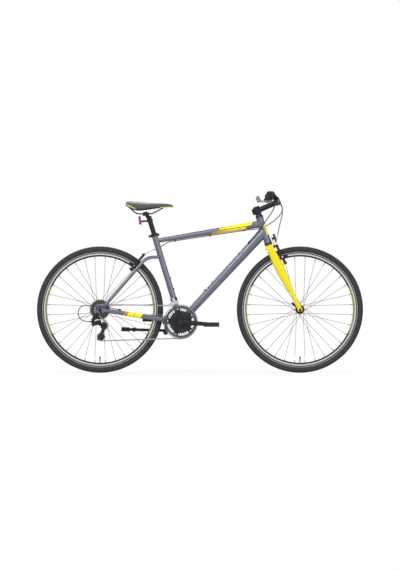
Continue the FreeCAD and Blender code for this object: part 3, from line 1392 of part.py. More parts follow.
link_forms = (inner_link(), outer_link())
links = []
for index, (here, there) in enumerate(zip(pin_places, pin_places[1:] + pin_places[:1])):
    link = link_forms[index % 2].copy()
    run = V(there[0] - here[0], 0, there[1] - here[1]).normalize()
    link.Placement = FreeCAD.Placement(
        V(here[0], CHAIN_SIDE, here[1]), FreeCAD.Rotation(run, SIDEWAYS.cross(run) * -1, SIDEWAYS * -1, "XZY")
    )
    links.append(link)
shaped("chain", Part.makeCompound(links))

# Freewheel: a body on the hub's thread and seven sprockets with spacers between them
FREEWHEEL_INNER = mm.chain_line - 6 * mm.sprocket_spacing - 2.5
FREEWHEEL_OUTER = mm.chain_line + 3
freewheel_body = tube(
    REAR - SIDEWAYS * FREEWHEEL_INNER, REAR - SIDEWAYS * FREEWHEEL_OUTER, mm.freewheel_body_radius,
    mm.freewheel_bore_radius
)
freewheel_solids = [freewheel_body]
for index, teeth in enumerate(SPROCKET_TEETH):
    middle = REAR - SIDEWAYS * (mm.chain_line - index * mm.sprocket_spacing)
    bore = mm.freewheel_body_radius + 0.02
    freewheel_solids.append(toothed(teeth, bore, sprocket_phase if index == 0 else 0, middle))
shaped("freewheel", Part.makeCompound(freewheel_solids))

# Chainrings: three toothed rings, held apart by spacers on two bolt circles
RING_BORE = mm.bolt_circle_radius - 8
INNER_BOLT_CIRCLE = 29
RING_ARMS = 5
HALF_TOOTH = mm.tooth_thickness / 2
crank_angle = -math.radians(mm.crank_drop_angle)
arm_angles = [crank_angle + (index + 0.5) * 2 * math.pi / RING_ARMS for index in range(RING_ARMS)]


def ring_middle(index):
    """The middle of a chainring, counted from the outer one."""
    return CRANK - SIDEWAYS * (mm.chain_line - index * mm.ring_spacing)


def ring_windows(inner, outer, half_angle):
    """Curved windows between the spider's arms, cut through a chainring."""
    windows = []
    for angle in arm_angles:
        middle = angle + math.pi / RING_ARMS
        corners = [about(CRANK, radius, middle + swing, -mm.chain_line - 3)
                   for radius, swing in ((inner, -half_angle), (outer, -half_angle), (outer, half_angle),
                                         (inner, half_angle))]
        outer_arc = Part.Arc(corners[1], about(CRANK, outer, middle, -mm.chain_line - 3), corners[2])
        inner_arc = Part.Arc(corners[3], about(CRANK, inner, middle, -mm.chain_line - 3), corners[0])
        wire = Part.Wire([
            Part.LineSegment(corners[0], corners[1]).toShape(),
            outer_arc.toShape(),
            Part.LineSegment(corners[2], corners[3]).toShape(),
            inner_arc.toShape(),
        ])
        windows.append(Part.Face(wire).extrude(SIDEWAYS * 6))
    return windows


outer_ring = toothed(mm.outer_ring_teeth, RING_BORE, ring_phase, ring_middle(0)).cut(
    ring_windows(mm.bolt_circle_radius + 12, RING_RADIUS - 14, math.radians(24))
)
middle_ring = toothed(mm.middle_ring_teeth, RING_BORE, 0, ring_middle(1))
inner_ring = toothed(mm.inner_ring_teeth, INNER_BOLT_CIRCLE - 7, 0, ring_middle(2))
spacers = []
SPIDER_INSIDE = mm.chain_line + HALF_TOOTH
for angle in arm_angles:
    for circle, near, far in (
        (mm.bolt_circle_radius, mm.chain_line - mm.ring_spacing + HALF_TOOTH, mm.chain_line - HALF_TOOTH),
        (mm.bolt_circle_radius, mm.chain_line - mm.ring_spacing - HALF_TOOTH - 1.6, mm.chain_line - mm.ring_spacing
         - HALF_TOOTH),
        (INNER_BOLT_CIRCLE, mm.chain_line - 2 * mm.ring_spacing + HALF_TOOTH, SPIDER_INSIDE),
    ):
        spacers.append(bar(about(CRANK, circle, angle, -near), about(CRANK, circle, angle, -far), 4.5))
shaped("chainrings", Part.makeCompound([outer_ring, middle_ring, inner_ring] + spacers))

# Right crank with its spider, clear guard ring, left crank, spindle and pedal axles
SPIDER_OUTSIDE = SPIDER_INSIDE + 5
GUARD_INSIDE = SPIDER_OUTSIDE + 0.1
GUARD_THICKNESS = 2
PEDAL_RUN = 6
CRANK_ROOT = mm.crank_place
LEFT_ROOT = CRANK_ROOT - 6


def crank_arm(angle, root, side):
    """A crank arm: a boss on the spindle, a tapering arm bowed outwards and a boss for the pedal axle."""
    run = V(math.cos(angle), 0, math.sin(angle))
    across = V(-math.sin(angle), 0, math.cos(angle))
    out = SIDEWAYS * side
    sections = []
    stations = ((0, 15.5, 0), (40, 13.5, 1), (110, 11.5, PEDAL_RUN * 0.8), (mm.crank_length, 11, PEDAL_RUN))
    for along, half_height, lift in stations:
        centre = CRANK + run * along + out * (root + mm.crank_thickness / 2 + lift)
        sections.append(oval(centre, across, out, half_height, mm.crank_thickness / 2 - 0.8))
    end = CRANK + run * mm.crank_length
    return fused([
        lofted(sections),
        bar(CRANK + out * root, CRANK + out * (root + mm.crank_thickness), 17),
        bar(end + out * (root + PEDAL_RUN), end + out * (root + PEDAL_RUN + mm.crank_thickness), 13),
    ])


spindle_hole = bar(CRANK - SIDEWAYS * 120, CRANK + SIDEWAYS * 120, mm.spindle_radius + 0.02)
right_pedal_place = about(CRANK, mm.crank_length, crank_angle, 0)
left_pedal_place = about(CRANK, mm.crank_length, crank_angle + math.pi, 0)
pedal_holes = [
    bar(place - SIDEWAYS * 120, place + SIDEWAYS * 120, mm.pedal_axle_radius + 0.02)
    for place in (right_pedal_place, left_pedal_place)
]
spider_frame = FreeCAD.Placement(
    CRANK - SIDEWAYS * SPIDER_INSIDE, FreeCAD.Rotation(V(1, 0, 0), V(0, 0, 1), V(0, -1, 0), "XYZ")
)
spider_arms = [
    strap((0, 0), (70 * math.cos(angle), 70 * math.sin(angle)), 24, 8, SPIDER_OUTSIDE - SPIDER_INSIDE, spider_frame)
    for angle in arm_angles
]
spider_boss = bar(CRANK - SIDEWAYS * SPIDER_INSIDE, CRANK - SIDEWAYS * (CRANK_ROOT + 1.5), 21)
right_crank = fused([crank_arm(crank_angle, CRANK_ROOT, RIGHT), spider_boss] + spider_arms)
shaped("right_crank", right_crank.cut([spindle_hole, pedal_holes[0]]))
shaped("left_crank", crank_arm(crank_angle + math.pi, LEFT_ROOT, LEFT).cut([spindle_hole, pedal_holes[1]]))

guard_solids = [tube(CRANK - SIDEWAYS * GUARD_INSIDE, CRANK - SIDEWAYS * (GUARD_INSIDE + GUARD_THICKNESS),
                     mm.guard_radius, mm.guard_radius - 30)]
for angle in arm_angles:
    guard_solids.append(bar(
        about(CRANK, 72, angle, -GUARD_INSIDE - GUARD_THICKNESS),
        about(CRANK, 72, angle, -GUARD_INSIDE - GUARD_THICKNESS - 1.5),
        4,
    ))
shaped("chain_guard", Part.makeCompound(guard_solids))

PEDAL_INSIDE = CRANK_ROOT + PEDAL_RUN + mm.crank_thickness + 6
PEDAL_SHIFT = {RIGHT: 0, LEFT: LEFT_ROOT - CRANK_ROOT}


def pedal_axle(place, side):
    """A pedal axle with its flats collar outside the crank and an end nut."""
    out = SIDEWAYS * side
    start = CRANK_ROOT + PEDAL_RUN + PEDAL_SHIFT[side]
    collar = start + mm.crank_thickness
    end = PEDAL_INSIDE + PEDAL_SHIFT[side] + mm.pedal_width - 4
    return fused([
        bar(place + out * start, place + out * end, mm.pedal_axle_radius),
        bar(place + out * collar, place + out * (collar + 5), 9),
    ])


spindle_caps = [
    bar(CRANK - SIDEWAYS * (CRANK_ROOT + mm.crank_thickness), CRANK - SIDEWAYS * (CRANK_ROOT + mm.crank_thickness + 2), 12),
    bar(CRANK + SIDEWAYS * (LEFT_ROOT + mm.crank_thickness), CRANK + SIDEWAYS * (LEFT_ROOT + mm.crank_thickness + 2), 12),
]
spindle = bar(CRANK - SIDEWAYS * (CRANK_ROOT + mm.crank_thickness),
              CRANK + SIDEWAYS * (LEFT_ROOT + mm.crank_thickness), mm.spindle_radius)
shaped("crank_axles", Part.makeCompound(
    [spindle] + spindle_caps + [pedal_axle(right_pedal_place, RIGHT), pedal_axle(left_pedal_place, LEFT)]
))


def pedal(label, place, side):
    """A pedal: a barrel on the axle, a rectangular cage round it with toothed grips, and reflectors in front and behind."""
    half_length, half_height = mm.pedal_length / 2, mm.pedal_height / 2
    low = PEDAL_INSIDE + PEDAL_SHIFT[side]
    high = low + mm.pedal_width
    bore = mm.pedal_axle_radius + mm.running_gap
    barrel = Part.makeCylinder(11, mm.pedal_width, V(0, low, 0), SIDEWAYS)
    cage = slab((-half_length, low, -half_height), (half_length, high, half_height))
    cage = cage.makeFillet(5, [edge for edge in cage.Edges if abs(edge.tangentAt(0).z) > 0.9])
    opening = slab((-half_length + 9, low + 7, -half_height), (half_length - 9, high - 9, half_height))
    pockets = [
        slab((face * (half_length - 5 if face > 0 else half_length), low + 22, -7),
             (face * (half_length if face > 0 else half_length - 5), high - 22, 7))
        for face in (-1, 1)
    ]
    scoops = [
        Part.makeCylinder(mm.pedal_width * 0.55, mm.pedal_length, V(-half_length, (low + high) / 2, level), V(1, 0, 0))
        for level in (half_height - 4 + mm.pedal_width * 0.55, -half_height + 4 - mm.pedal_width * 0.55)
    ]
    body = fused([cage.cut([opening] + scoops), barrel])
    body = body.cut([Part.makeCylinder(bore, mm.pedal_width - 3, V(0, low, 0), SIDEWAYS)] + pockets)
    solids = body.Solids + pockets
    turn = FreeCAD.Placement(place, FreeCAD.Rotation())
    if side == RIGHT:
        solids = [mirrored(solid) for solid in solids]
    moved = []
    for solid in solids:
        solid.Placement = turn.multiply(solid.Placement)
        moved.append(solid)
    shaped(label, Part.makeCompound(moved))


pedal("right_pedal", right_pedal_place, RIGHT)
pedal("left_pedal", left_pedal_place, LEFT)

# Rear derailleur: a mounting knuckle on the hanger, two links on slanted pins, a front knuckle, the cage and two pulleys
SLANT = V(0, 0.5, math.sqrt(0.75))
SLANT_IN = V(0, math.sqrt(0.75), -0.5)
LINK_LENGTH = 44
LINK_SPACING = 18
LINK_REST = math.radians(-24)
LINK_WIDTH = 9
LINK_END_RADIUS = 7
LINK_PIN = 2
PLATE_SIT = LINK_WIDTH / 2 + 0.5
KNUCKLE_DEPTH = 9
outer_rear = V(REAR.x - 38, -78, REAR.z - 74)
inner_rear = outer_rear + SLANT_IN * LINK_SPACING
link_run = V(1, 0, 0) * math.cos(LINK_REST) + SLANT_IN * math.sin(LINK_REST)
outer_front = outer_rear + link_run * LINK_LENGTH
inner_front = inner_rear + link_run * LINK_LENGTH
hanger_place = V(REAR.x + HANGER[0], 0, REAR.z + HANGER[1])
KNUCKLE_SIDE = DROPOUT_OUT + 0.8
KNUCKLE_OUT = KNUCKLE_SIDE + 15


def slanted_strap(start, end, radius, low, high):
    """A flat link between two slanted pins, between two heights along them."""
    run = end - start
    return strap((0, 0), (run.Length, 0), radius, radius - 0.001, high - low,
                 frame_at(start + SLANT * low, SLANT, run.normalize()))


def slanted_pin(place, low, high, radius):
    """A round bar along the slanted pins' direction."""
    return bar(place + SLANT * low, place + SLANT * high, radius)


mount_plate = slanted_strap(outer_rear, inner_rear, 8, PLATE_SIT, PLATE_SIT + KNUCKLE_DEPTH)
arm_frame = FreeCAD.Placement(V(0, -KNUCKLE_SIDE, 0), FreeCAD.Rotation(V(1, 0, 0), V(0, 0, 1), V(0, -1, 0), "XYZ"))
mount_arm = strap((outer_rear.x, outer_rear.z + 19), (hanger_place.x, hanger_place.z), 9, 11,
                  KNUCKLE_OUT - KNUCKLE_SIDE, arm_frame)
mount_hole = bar(hanger_place - SIDEWAYS * 60, hanger_place - SIDEWAYS * 120, 4)
rear_pins = [
    slanted_pin(place, -LINK_WIDTH / 2, PLATE_SIT + KNUCKLE_DEPTH, LINK_PIN) for place in (outer_rear, inner_rear)
]
mount_knuckle = fused([mount_plate, mount_arm]).cut([mount_hole] + rear_pins)
mount_bolt = fused([
    bar(hanger_place - SIDEWAYS * mm.rear_axle_half, hanger_place - SIDEWAYS * KNUCKLE_OUT, 3.9),
    bar(hanger_place - SIDEWAYS * KNUCKLE_OUT, hanger_place - SIDEWAYS * (KNUCKLE_OUT + 3), 8),
])
adjuster_start = outer_rear + SLANT * (PLATE_SIT + KNUCKLE_DEPTH / 2) + V(-4, 0, 0)
adjuster_run = V(-1, 0, 0.02).normalize()
adjuster_end = adjuster_start + adjuster_run * 18
cable_adjuster = bar(adjuster_start, adjuster_end, 3.6).cut([mount_plate, mount_arm])
cable_adjuster = max(cable_adjuster.Solids, key=lambda solid: solid.Volume)
shaped("rear_derailleur_body", Part.makeCompound([mount_knuckle, mount_bolt, cable_adjuster] + rear_pins))


def derailleur_link(start, end, additions):
    """One link of the parallelogram with what is cast on it, bored for its two pins."""
    link = fused([slanted_strap(start, end, LINK_END_RADIUS, -LINK_WIDTH / 2, LINK_WIDTH / 2)] + additions)
    bores = [slanted_pin(place, -LINK_WIDTH, LINK_WIDTH, LINK_PIN + mm.running_gap) for place in (start, end)]
    return link.cut(bores)


# The outer link carries a cover that hides the pins and the front knuckle's edge and takes the knocks on this side
LINK_OUT = V(1, 0, 0) * math.sin(LINK_REST) - SLANT_IN * math.cos(LINK_REST)
COVER_START = 10
COVER_LENGTH = 40
COVER_SIT = 8.6
COVER_LOW = -PLATE_SIT - KNUCKLE_DEPTH - 0.5
COVER_PLATE = 3
cover_corner = outer_rear + link_run * COVER_START + LINK_OUT * COVER_SIT + SLANT * COVER_LOW
link_cover = Part.makeBox(COVER_LENGTH, LINK_WIDTH / 2 - COVER_LOW, COVER_PLATE)
cover_corners = [edge for edge in link_cover.Edges if abs(edge.tangentAt(0).z) > 0.9]
link_cover = link_cover.makeFillet(5, cover_corners)
cover_face = [face for face in link_cover.Faces if face.CenterOfMass.z > COVER_PLATE - 0.01][0]
link_cover = link_cover.makeFillet(1.4, cover_face.Edges)
link_cover.Placement = frame_at(cover_corner, LINK_OUT, link_run)
cover_web = Part.makeBox(LINK_LENGTH - COVER_START, LINK_WIDTH, COVER_SIT + 1)
cover_web.Placement = frame_at(outer_rear + link_run * COVER_START - SLANT * (LINK_WIDTH / 2), LINK_OUT, link_run)
shaped("rd_outer_link", derailleur_link(outer_rear, outer_front, [link_cover, cover_web]))
shaped("rd_inner_link", derailleur_link(inner_rear, inner_front, []))

CAGE_OUTSIDE = mm.chain_line + mm.cage_half_gap + mm.cage_plate
CAGE_INSIDE = mm.chain_line - mm.cage_half_gap - mm.cage_plate
BARREL_START = CAGE_OUTSIDE + mm.side_gap
BARREL_END = BARREL_START + 20
CAGE_PIN = 4
guide_place = V(GUIDE[0], 0, GUIDE[1])
tension_spot = V(TENSION[0], 0, TENSION[1])
front_plate = slanted_strap(outer_front, inner_front, 8, -PLATE_SIT - KNUCKLE_DEPTH, -PLATE_SIT)
barrel = bar(guide_place - SIDEWAYS * BARREL_START, guide_place - SIDEWAYS * BARREL_END, 10)
neck_start = inner_front - SLANT * (PLATE_SIT + KNUCKLE_DEPTH / 2)
neck = bar(neck_start, guide_place - SIDEWAYS * (BARREL_START + 11), 7.5)
neck = neck.cut(slab((-700, -BARREL_START, 100), (0, 100, 400)))
front_pins = [
    slanted_pin(place, -PLATE_SIT - KNUCKLE_DEPTH, LINK_WIDTH / 2, LINK_PIN) for place in (outer_front, inner_front)
]
links_room = slanted_strap(outer_front - link_run * 60, outer_front + link_run * 30, 40, -PLATE_SIT, PLATE_SIT)
front_knuckle = fused([front_plate, barrel, neck.cut(links_room)])
cage_bore = bar(guide_place - SIDEWAYS * BARREL_START, guide_place - SIDEWAYS * (BARREL_END - 3), CAGE_PIN + mm.running_gap)
front_knuckle = front_knuckle.cut([cage_bore] + front_pins)
front_knuckle = max(front_knuckle.Solids, key=lambda solid: solid.Volume)
shaped("rd_knuckle", Part.makeCompound([front_knuckle] + front_pins))

cage_frame = FreeCAD.Placement(V(0, 0, 0), FreeCAD.Rotation(V(1, 0, 0), V(0, 0, 1), V(0, -1, 0), "XYZ"))


def cage_plate(side):
    """One cage plate between the pulleys, with a ring tab below."""
    tab = (TENSION[0] - 19, TENSION[1] - 15)
    plate = fused([
        strap(GUIDE, TENSION, 10, 9, mm.cage_plate, cage_frame),
        strap(TENSION, tab, 7, 5, mm.cage_plate, cage_frame),
    ])
    hole = Part.makeCylinder(2.5, mm.cage_plate, V(*tab, 0))
    hole.Placement = cage_frame.multiply(hole.Placement)
    plate = plate.cut(hole)
    plate.translate(SIDEWAYS * -side)
    return plate


PULLEY_PIN = 2.5
shaped("rd_cage", fused([
    cage_plate(CAGE_OUTSIDE - mm.cage_plate),
    cage_plate(CAGE_INSIDE),
    bar(guide_place - SIDEWAYS * CAGE_INSIDE, guide_place - SIDEWAYS * CAGE_OUTSIDE, PULLEY_PIN),
    bar(tension_spot - SIDEWAYS * CAGE_INSIDE, tension_spot - SIDEWAYS * CAGE_OUTSIDE, PULLEY_PIN),
    bar(guide_place - SIDEWAYS * (CAGE_OUTSIDE - mm.cage_plate), guide_place - SIDEWAYS * (BARREL_END - 4), CAGE_PIN),
]))


def pulley(label, place, phase):
    """A toothed pulley with a wider hub on its pin."""
    half = mm.cage_half_gap - 0.7
    wheel = toothed(mm.pulley_teeth, PULLEY_PIN + mm.running_gap, phase, place - SIDEWAYS * mm.chain_line)
    hub = tube(place - SIDEWAYS * (mm.chain_line - half), place - SIDEWAYS * (mm.chain_line + half), 7,
               PULLEY_PIN + mm.running_gap)
    shaped(label, fused([wheel, hub]))


pulley("rd_guide_pulley", guide_place, guide_phase)
pulley("rd_tension_pulley", tension_spot, tension_phase)

# Front derailleur: a band round the seat tube, a swinging link and the cage over the rings
BAND_PLACE = 130
FD_DEPTH = 10
FD_CHEEK = 3
FD_PIN = 2
fd_hinge = up_seat(BAND_PLACE) + V(0, -28, 9)
fd_swing = V(0, -19.7, -13.8)
fd_joint = fd_hinge + fd_swing
FD_PLATE_LOW, FD_PLATE_HIGH = 102, 119
FD_OUTSIDE, FD_INSIDE = mm.chain_line + 6.5, mm.chain_line - 6.5
fd_frame = FreeCAD.Placement(V(0, 0, 0), FreeCAD.Rotation(V(0, 1, 0), V(0, 0, 1), V(1, 0, 0), "XYZ"))


def fd_strap(start, end, start_radius, end_radius, low, high):
    """A flat link in the crosswise plane, between two places along the bicycle."""
    link = strap((start.y, start.z), (end.y, end.z), start_radius, end_radius, high - low, fd_frame)
    link.translate(V(low, 0, 0))
    return link


fd_low, fd_high = fd_hinge.x - FD_DEPTH / 2, fd_hinge.x + FD_DEPTH / 2
cheek_spans = [
    (fd_low - mm.side_gap - FD_CHEEK, fd_low - mm.side_gap),
    (fd_high + mm.side_gap, fd_high + mm.side_gap + FD_CHEEK),
]
band = tube(up_seat(BAND_PLACE - 8), up_seat(BAND_PLACE + 8), mm.seat_tube_radius + 3, mm.seat_tube_radius + mm.running_gap)
band_root = V(fd_hinge.x, -mm.seat_tube_radius + 1, fd_hinge.z - 6)
band_cheeks = [fd_strap(band_root, fd_hinge, 6, 5, low, high) for low, high in cheek_spans]
seat_room = bar(CRANK, SEAT_TOP, mm.seat_tube_radius + mm.running_gap)
fd_span = (cheek_spans[0][0], cheek_spans[1][1])
hinge_pin = bar(V(fd_span[0], fd_hinge.y, fd_hinge.z), V(fd_span[1], fd_hinge.y, fd_hinge.z), FD_PIN)
joint_pin = bar(V(fd_span[0], fd_joint.y, fd_joint.z), V(fd_span[1], fd_joint.y, fd_joint.z), FD_PIN)
shaped("front_derailleur_body", fused([band] + [cheek.cut(seat_room) for cheek in band_cheeks] + [hinge_pin]))
fd_bores = [
    bar(V(fd_low - 1, place.y, place.z), V(fd_high + 1, place.y, place.z), FD_PIN + mm.running_gap)
    for place in (fd_hinge, fd_joint)
]
fd_middle = (fd_hinge + fd_joint) / 2
FD_BOLT = 3
fd_bolt = bar(V(fd_low, fd_middle.y, fd_middle.z), V(fd_low - 9, fd_middle.y, fd_middle.z), FD_BOLT)
shaped("fd_link", fused([fd_strap(fd_hinge, fd_joint, 5, 4.999, fd_low, fd_high).cut(fd_bores), fd_bolt]))


def ring_sector(inner, outer, start, end, near, far):
    """A piece of a flat ring round the crank axis between two angles and two sideways places."""
    middle = (start + end) / 2
    wire = Part.Wire([
        Part.LineSegment(about(CRANK, inner, start, near), about(CRANK, outer, start, near)).toShape(),
        Part.Arc(about(CRANK, outer, start, near), about(CRANK, outer, middle, near), about(CRANK, outer, end, near)).toShape(),
        Part.LineSegment(about(CRANK, outer, end, near), about(CRANK, inner, end, near)).toShape(),
        Part.Arc(about(CRANK, inner, end, near), about(CRANK, inner, middle, near), about(CRANK, inner, start, near)).toShape(),
    ])
    return Part.Face(wire).extrude(SIDEWAYS * (far - near))


fd_start, fd_end = math.radians(96), math.radians(128)
joint_foot = V(fd_joint.x, -FD_INSIDE + 1, fd_joint.z - 10)
cage_cheeks = [fd_strap(joint_foot, fd_joint, 4, 5, low, high) for low, high in cheek_spans]
fd_bridge = ring_sector(FD_PLATE_HIGH - 2, FD_PLATE_HIGH, fd_start, math.radians(112), -FD_INSIDE, -FD_OUTSIDE)
cheek_bridge = slab((fd_span[0], -FD_INSIDE - 1.5, fd_joint.z - 14), (fd_span[1], -FD_INSIDE + 1.5, fd_joint.z - 7))
shaped("fd_cage", fused([
    ring_sector(FD_PLATE_LOW, FD_PLATE_HIGH, fd_start, fd_end, -FD_INSIDE, -FD_INSIDE + 1.5),
    ring_sector(FD_PLATE_LOW, FD_PLATE_HIGH, fd_start, fd_end, -FD_OUTSIDE - 1.5, -FD_OUTSIDE),
    fd_bridge,
    cheek_bridge,
    joint_pin,
] + cage_cheeks))

# Linear pull brakes: an arm on each post, its pad on a threaded stud, and a bent cable guide on one arm of each pair
PAD_INSIDE = HALF_RIM + mm.brake_pad_gap
PAD_OUTSIDE = PAD_INSIDE + mm.brake_pad_thickness
STUD_RADIUS = 3
NOODLE_BEND = 13
noodle_ends = {}
noodle_starts = {}
anchors = {}


def brake_arm(label, centre, post, up, out, side, noodle=None):
    """One brake arm with its pad, stud and nut; a cable guide stands on it when its lean and rise are given."""
    place = V(post.x, side * post.y, post.z)
    frame = frame_at(place + out * mm.side_gap, out, up)
    flip = out.cross(up).dot(SIDEWAYS)
    inward = -side * flip
    length, depth = mm.brake_arm_length, mm.brake_arm_depth
    stands_out = (place - centre).dot(out) + mm.side_gap + depth / 2
    rise = math.sqrt(mm.brake_track_radius**2 - stands_out**2) - (place - centre).dot(up)
    arm = fused([
        strap((0, 0), (rise, inward * 4), 9, 8, depth),
        strap((rise, inward * 4), (length, inward * 13), 8, 5, depth),
    ])
    arm = arm.cut(Part.makeCylinder(mm.brake_post_radius + mm.running_gap, depth))
    arm.Placement = frame
    middle = frame.multVec(V(rise, 0, depth / 2))
    angle = math.atan2(middle.z - centre.z, middle.x - centre.x)
    spread = mm.brake_pad_length / mm.brake_track_radius / 2
    half_height = mm.brake_pad_height / 2
    corners = [
        about(centre, mm.brake_track_radius + height, angle - spread, side * reach)
        for height, reach in ((-half_height, PAD_INSIDE), (half_height, PAD_INSIDE), (half_height, PAD_OUTSIDE),
                              (-half_height, PAD_OUTSIDE))
    ]
    pad_face = Part.Face(Part.makePolygon(corners + corners[:1]))
    pad = pad_face.revolve(centre, SIDEWAYS * -1, math.degrees(2 * spread))
    arm_side = place.y * side - 4

    def stud_at(reach):
        return about(centre, mm.brake_track_radius, angle, side * reach)

    stud = bar(stud_at(PAD_OUTSIDE), stud_at(arm_side + 17), STUD_RADIUS)
    arm = arm.cut(bar(stud_at(PAD_OUTSIDE), stud_at(arm_side + 30), STUD_RADIUS + 0.05))
    nuts = [
        hexagon_bar(stud_at(arm_side + 9.5), stud_at(arm_side + 14), 6),
        bar(stud_at(PAD_OUTSIDE), stud_at(arm_side - 9.5), 6),
    ]
    solids = arm.Solids + pad.Solids + fused([stud] + nuts).Solids
    if noodle:
        lean, climb = noodle
        top = length + 5 + mm.housing_radius + 0.1
        points = [
            frame.multVec(V(top, inward * 30, depth / 2)),
            frame.multVec(V(top, inward * 5, depth / 2)),
            frame.multVec(V(top + climb, inward * 1, depth / 2 + lean)),
        ]
        guide_line = route(points, [NOODLE_BEND])
        solids += swept(guide_line, mm.housing_radius).Solids
        noodle_ends[label] = (points[2], (points[2] - points[1]).normalize())
        noodle_starts[label] = points[0]
    else:
        bolt = frame.multVec(V(length - 2, inward * 12.8, depth))
        solids.append(bar(bolt, bolt + out * 4, 4))
        anchors[label] = frame.multVec(V(length - 2, inward * (12.8 + 4.2), depth + 2))
    shaped(label, Part.makeCompound(solids))


front_post_base = front_boss + BLADE_AHEAD * FRONT_BOSS_LENGTH
rear_post_base = rear_boss + REAR_BRAKE_OUT * BOSS_LENGTH
brake_arm("front_brake_arm_right", FRONT, front_post_base, BLADE_UP, BLADE_AHEAD, RIGHT, (30, 42))
brake_arm("front_brake_arm_left", FRONT, front_post_base, BLADE_UP, BLADE_AHEAD, LEFT)
brake_arm("rear_brake_arm_right", REAR, rear_post_base, STAY_IN_PLANE, REAR_BRAKE_OUT, RIGHT)
brake_arm("rear_brake_arm_left", REAR, rear_post_base, STAY_IN_PLANE, REAR_BRAKE_OUT, LEFT, (-22, 46))

# Seat: post with its clamp, rails, shell, pad and the rear reflector
CLAMP = up_seat(mm.seatpost_top + 12) + V(-10, 0, 0)
RAIL_LEVEL = -2
POST_LOW = mm.seat_tube_length - mm.seatpost_insertion
SADDLE_STATIONS = (
    (-112, 0.50, 46, 62),
    (-97, 0.84, 39, 68),
    (-58, 1.00, 22, 67),
    (-5, 0.80, 23, 61),
    (48, 0.43, 30, 58),
    (100, 0.28, 36, 56),
    (135, 0.21, 37, 52),
    (153, 0.12, 36, 44),
)
LONG = mm.saddle_length / 265
SHELL_THICKNESS = 4


def pad_section(along, share, low, high):
    """A cushion section: a flat underside, sides drawn in and a low crown."""
    half = mm.saddle_width / 2 * share
    rise = high - low

    def spot(side, level):
        return CLAMP + V(along * LONG, side, level)

    return Part.Wire([
        Part.LineSegment(spot(-half * 0.86, low), spot(half * 0.86, low)).toShape(),
        Part.Arc(spot(half * 0.86, low), spot(half, low + rise * 0.34), spot(half * 0.84, low + rise * 0.74)).toShape(),
        Part.Arc(spot(half * 0.84, low + rise * 0.74), spot(0, high), spot(-half * 0.84, low + rise * 0.74)).toShape(),
        Part.Arc(spot(-half * 0.84, low + rise * 0.74), spot(-half, low + rise * 0.34), spot(-half * 0.86, low)).toShape(),
    ])


def shell_section(along, share, low, high):
    """A flat section of the shell under the pad."""
    half = mm.saddle_width / 2 * share * 0.8
    top = low - 0.2
    corners = [
        CLAMP + V(along * LONG, side, level)
        for side, level in ((-half, top), (half, top), (half * 0.9, top - SHELL_THICKNESS), (-half * 0.9, top - SHELL_THICKNESS))
    ]
    return Part.makePolygon(corners + corners[:1])


pad = lofted([pad_section(*station) for station in SADDLE_STATIONS])
shaped("saddle_pad", pad)
shell = lofted([shell_section(*station) for station in SADDLE_STATIONS]).cut(pad)
shell = max(shell.Solids, key=lambda solid: solid.Volume)
shaped("saddle_shell", shell)


def rail(side):
    """One rail: up into the shell behind, level through the clamp, and up into the nose."""
    points = [
        CLAMP + V(-96, side * 38, 37),
        CLAMP + V(-52, side * mm.rail_spacing, RAIL_LEVEL),
        CLAMP + V(34, side * mm.rail_spacing, RAIL_LEVEL),
        CLAMP + V(96, side * 9, 32),
    ]
    run = swept(route(points, [40, 60]), mm.rail_radius).cut(shell)
    return max(run.Solids, key=lambda solid: solid.Volume)


rails = [rail(RIGHT), rail(LEFT)]
shaped("saddle_rails", Part.makeCompound(rails))

clamp_frame = FreeCAD.Placement(CLAMP, FreeCAD.Rotation())
rail_rooms = [
    bar(CLAMP + V(-60, side * mm.rail_spacing, RAIL_LEVEL), CLAMP + V(60, side * mm.rail_spacing, RAIL_LEVEL), mm.rail_radius)
    for side in (RIGHT, LEFT)
]
CLAMP_REACH = mm.rail_spacing + mm.rail_radius + 4
lower_clamp = slab((-18, -CLAMP_REACH, -13), (18, CLAMP_REACH, RAIL_LEVEL - 0.2), clamp_frame).cut(rail_rooms)
upper_clamp = slab((-16, -CLAMP_REACH, RAIL_LEVEL + 0.2), (16, CLAMP_REACH, 7), clamp_frame).cut(rail_rooms)
clamp_bolt = fused([
    bar(CLAMP + V(0, 0, -20), CLAMP + V(0, 0, 10), 3),
    bar(CLAMP + V(0, 0, 7), CLAMP + V(0, 0, 11), 5.5),
])
bolt_room = bar(CLAMP + V(0, 0, -21), CLAMP + V(0, 0, 7), 3.05)
lower_clamp = lower_clamp.cut(bolt_room)
upper_clamp = upper_clamp.cut(bolt_room)
post_head = bar(up_seat(mm.seatpost_top - 16), up_seat(mm.seatpost_top + 10), mm.seatpost_radius + 1.5)
post_tube = bar(up_seat(POST_LOW), up_seat(mm.seatpost_top + 8), mm.seatpost_radius)
post_bore = bar(up_seat(POST_LOW), up_seat(mm.seatpost_top - 20), mm.seatpost_radius - mm.seatpost_wall)
above_post = slab((-60, -60, -13), (60, 60, 40), clamp_frame)
post = fused([post_tube, post_head]).cut([post_bore, above_post, bolt_room])
shaped("seatpost", Part.makeCompound(post.Solids + lower_clamp.Solids + upper_clamp.Solids + clamp_bolt.Solids))

REFLECTOR_UP = 583
reflector_frame = FreeCAD.Placement(up_seat(REFLECTOR_UP), FreeCAD.Rotation(V(0, 1, 0), -6))
band_inner = mm.seatpost_radius + mm.running_gap
reflector_band = tube(up_seat(REFLECTOR_UP - 6), up_seat(REFLECTOR_UP + 6), band_inner + 3, band_inner)
reflector_arm = slab((-48, -5, -5), (-10, 5, 5), reflector_frame).cut(bar(up_seat(560), up_seat(620), band_inner))
reflector_case = slab((-56, -24, -18), (-48, 24, 32), reflector_frame)
reflector_case = reflector_case.makeFillet(3, reflector_case.Edges)
reflector_lens = slab((-61, -21, -15), (-56, 21, 29), reflector_frame)
reflector_holder = fused([reflector_band, reflector_arm, reflector_case])
shaped("rear_reflector", Part.makeCompound([reflector_holder, reflector_lens]))

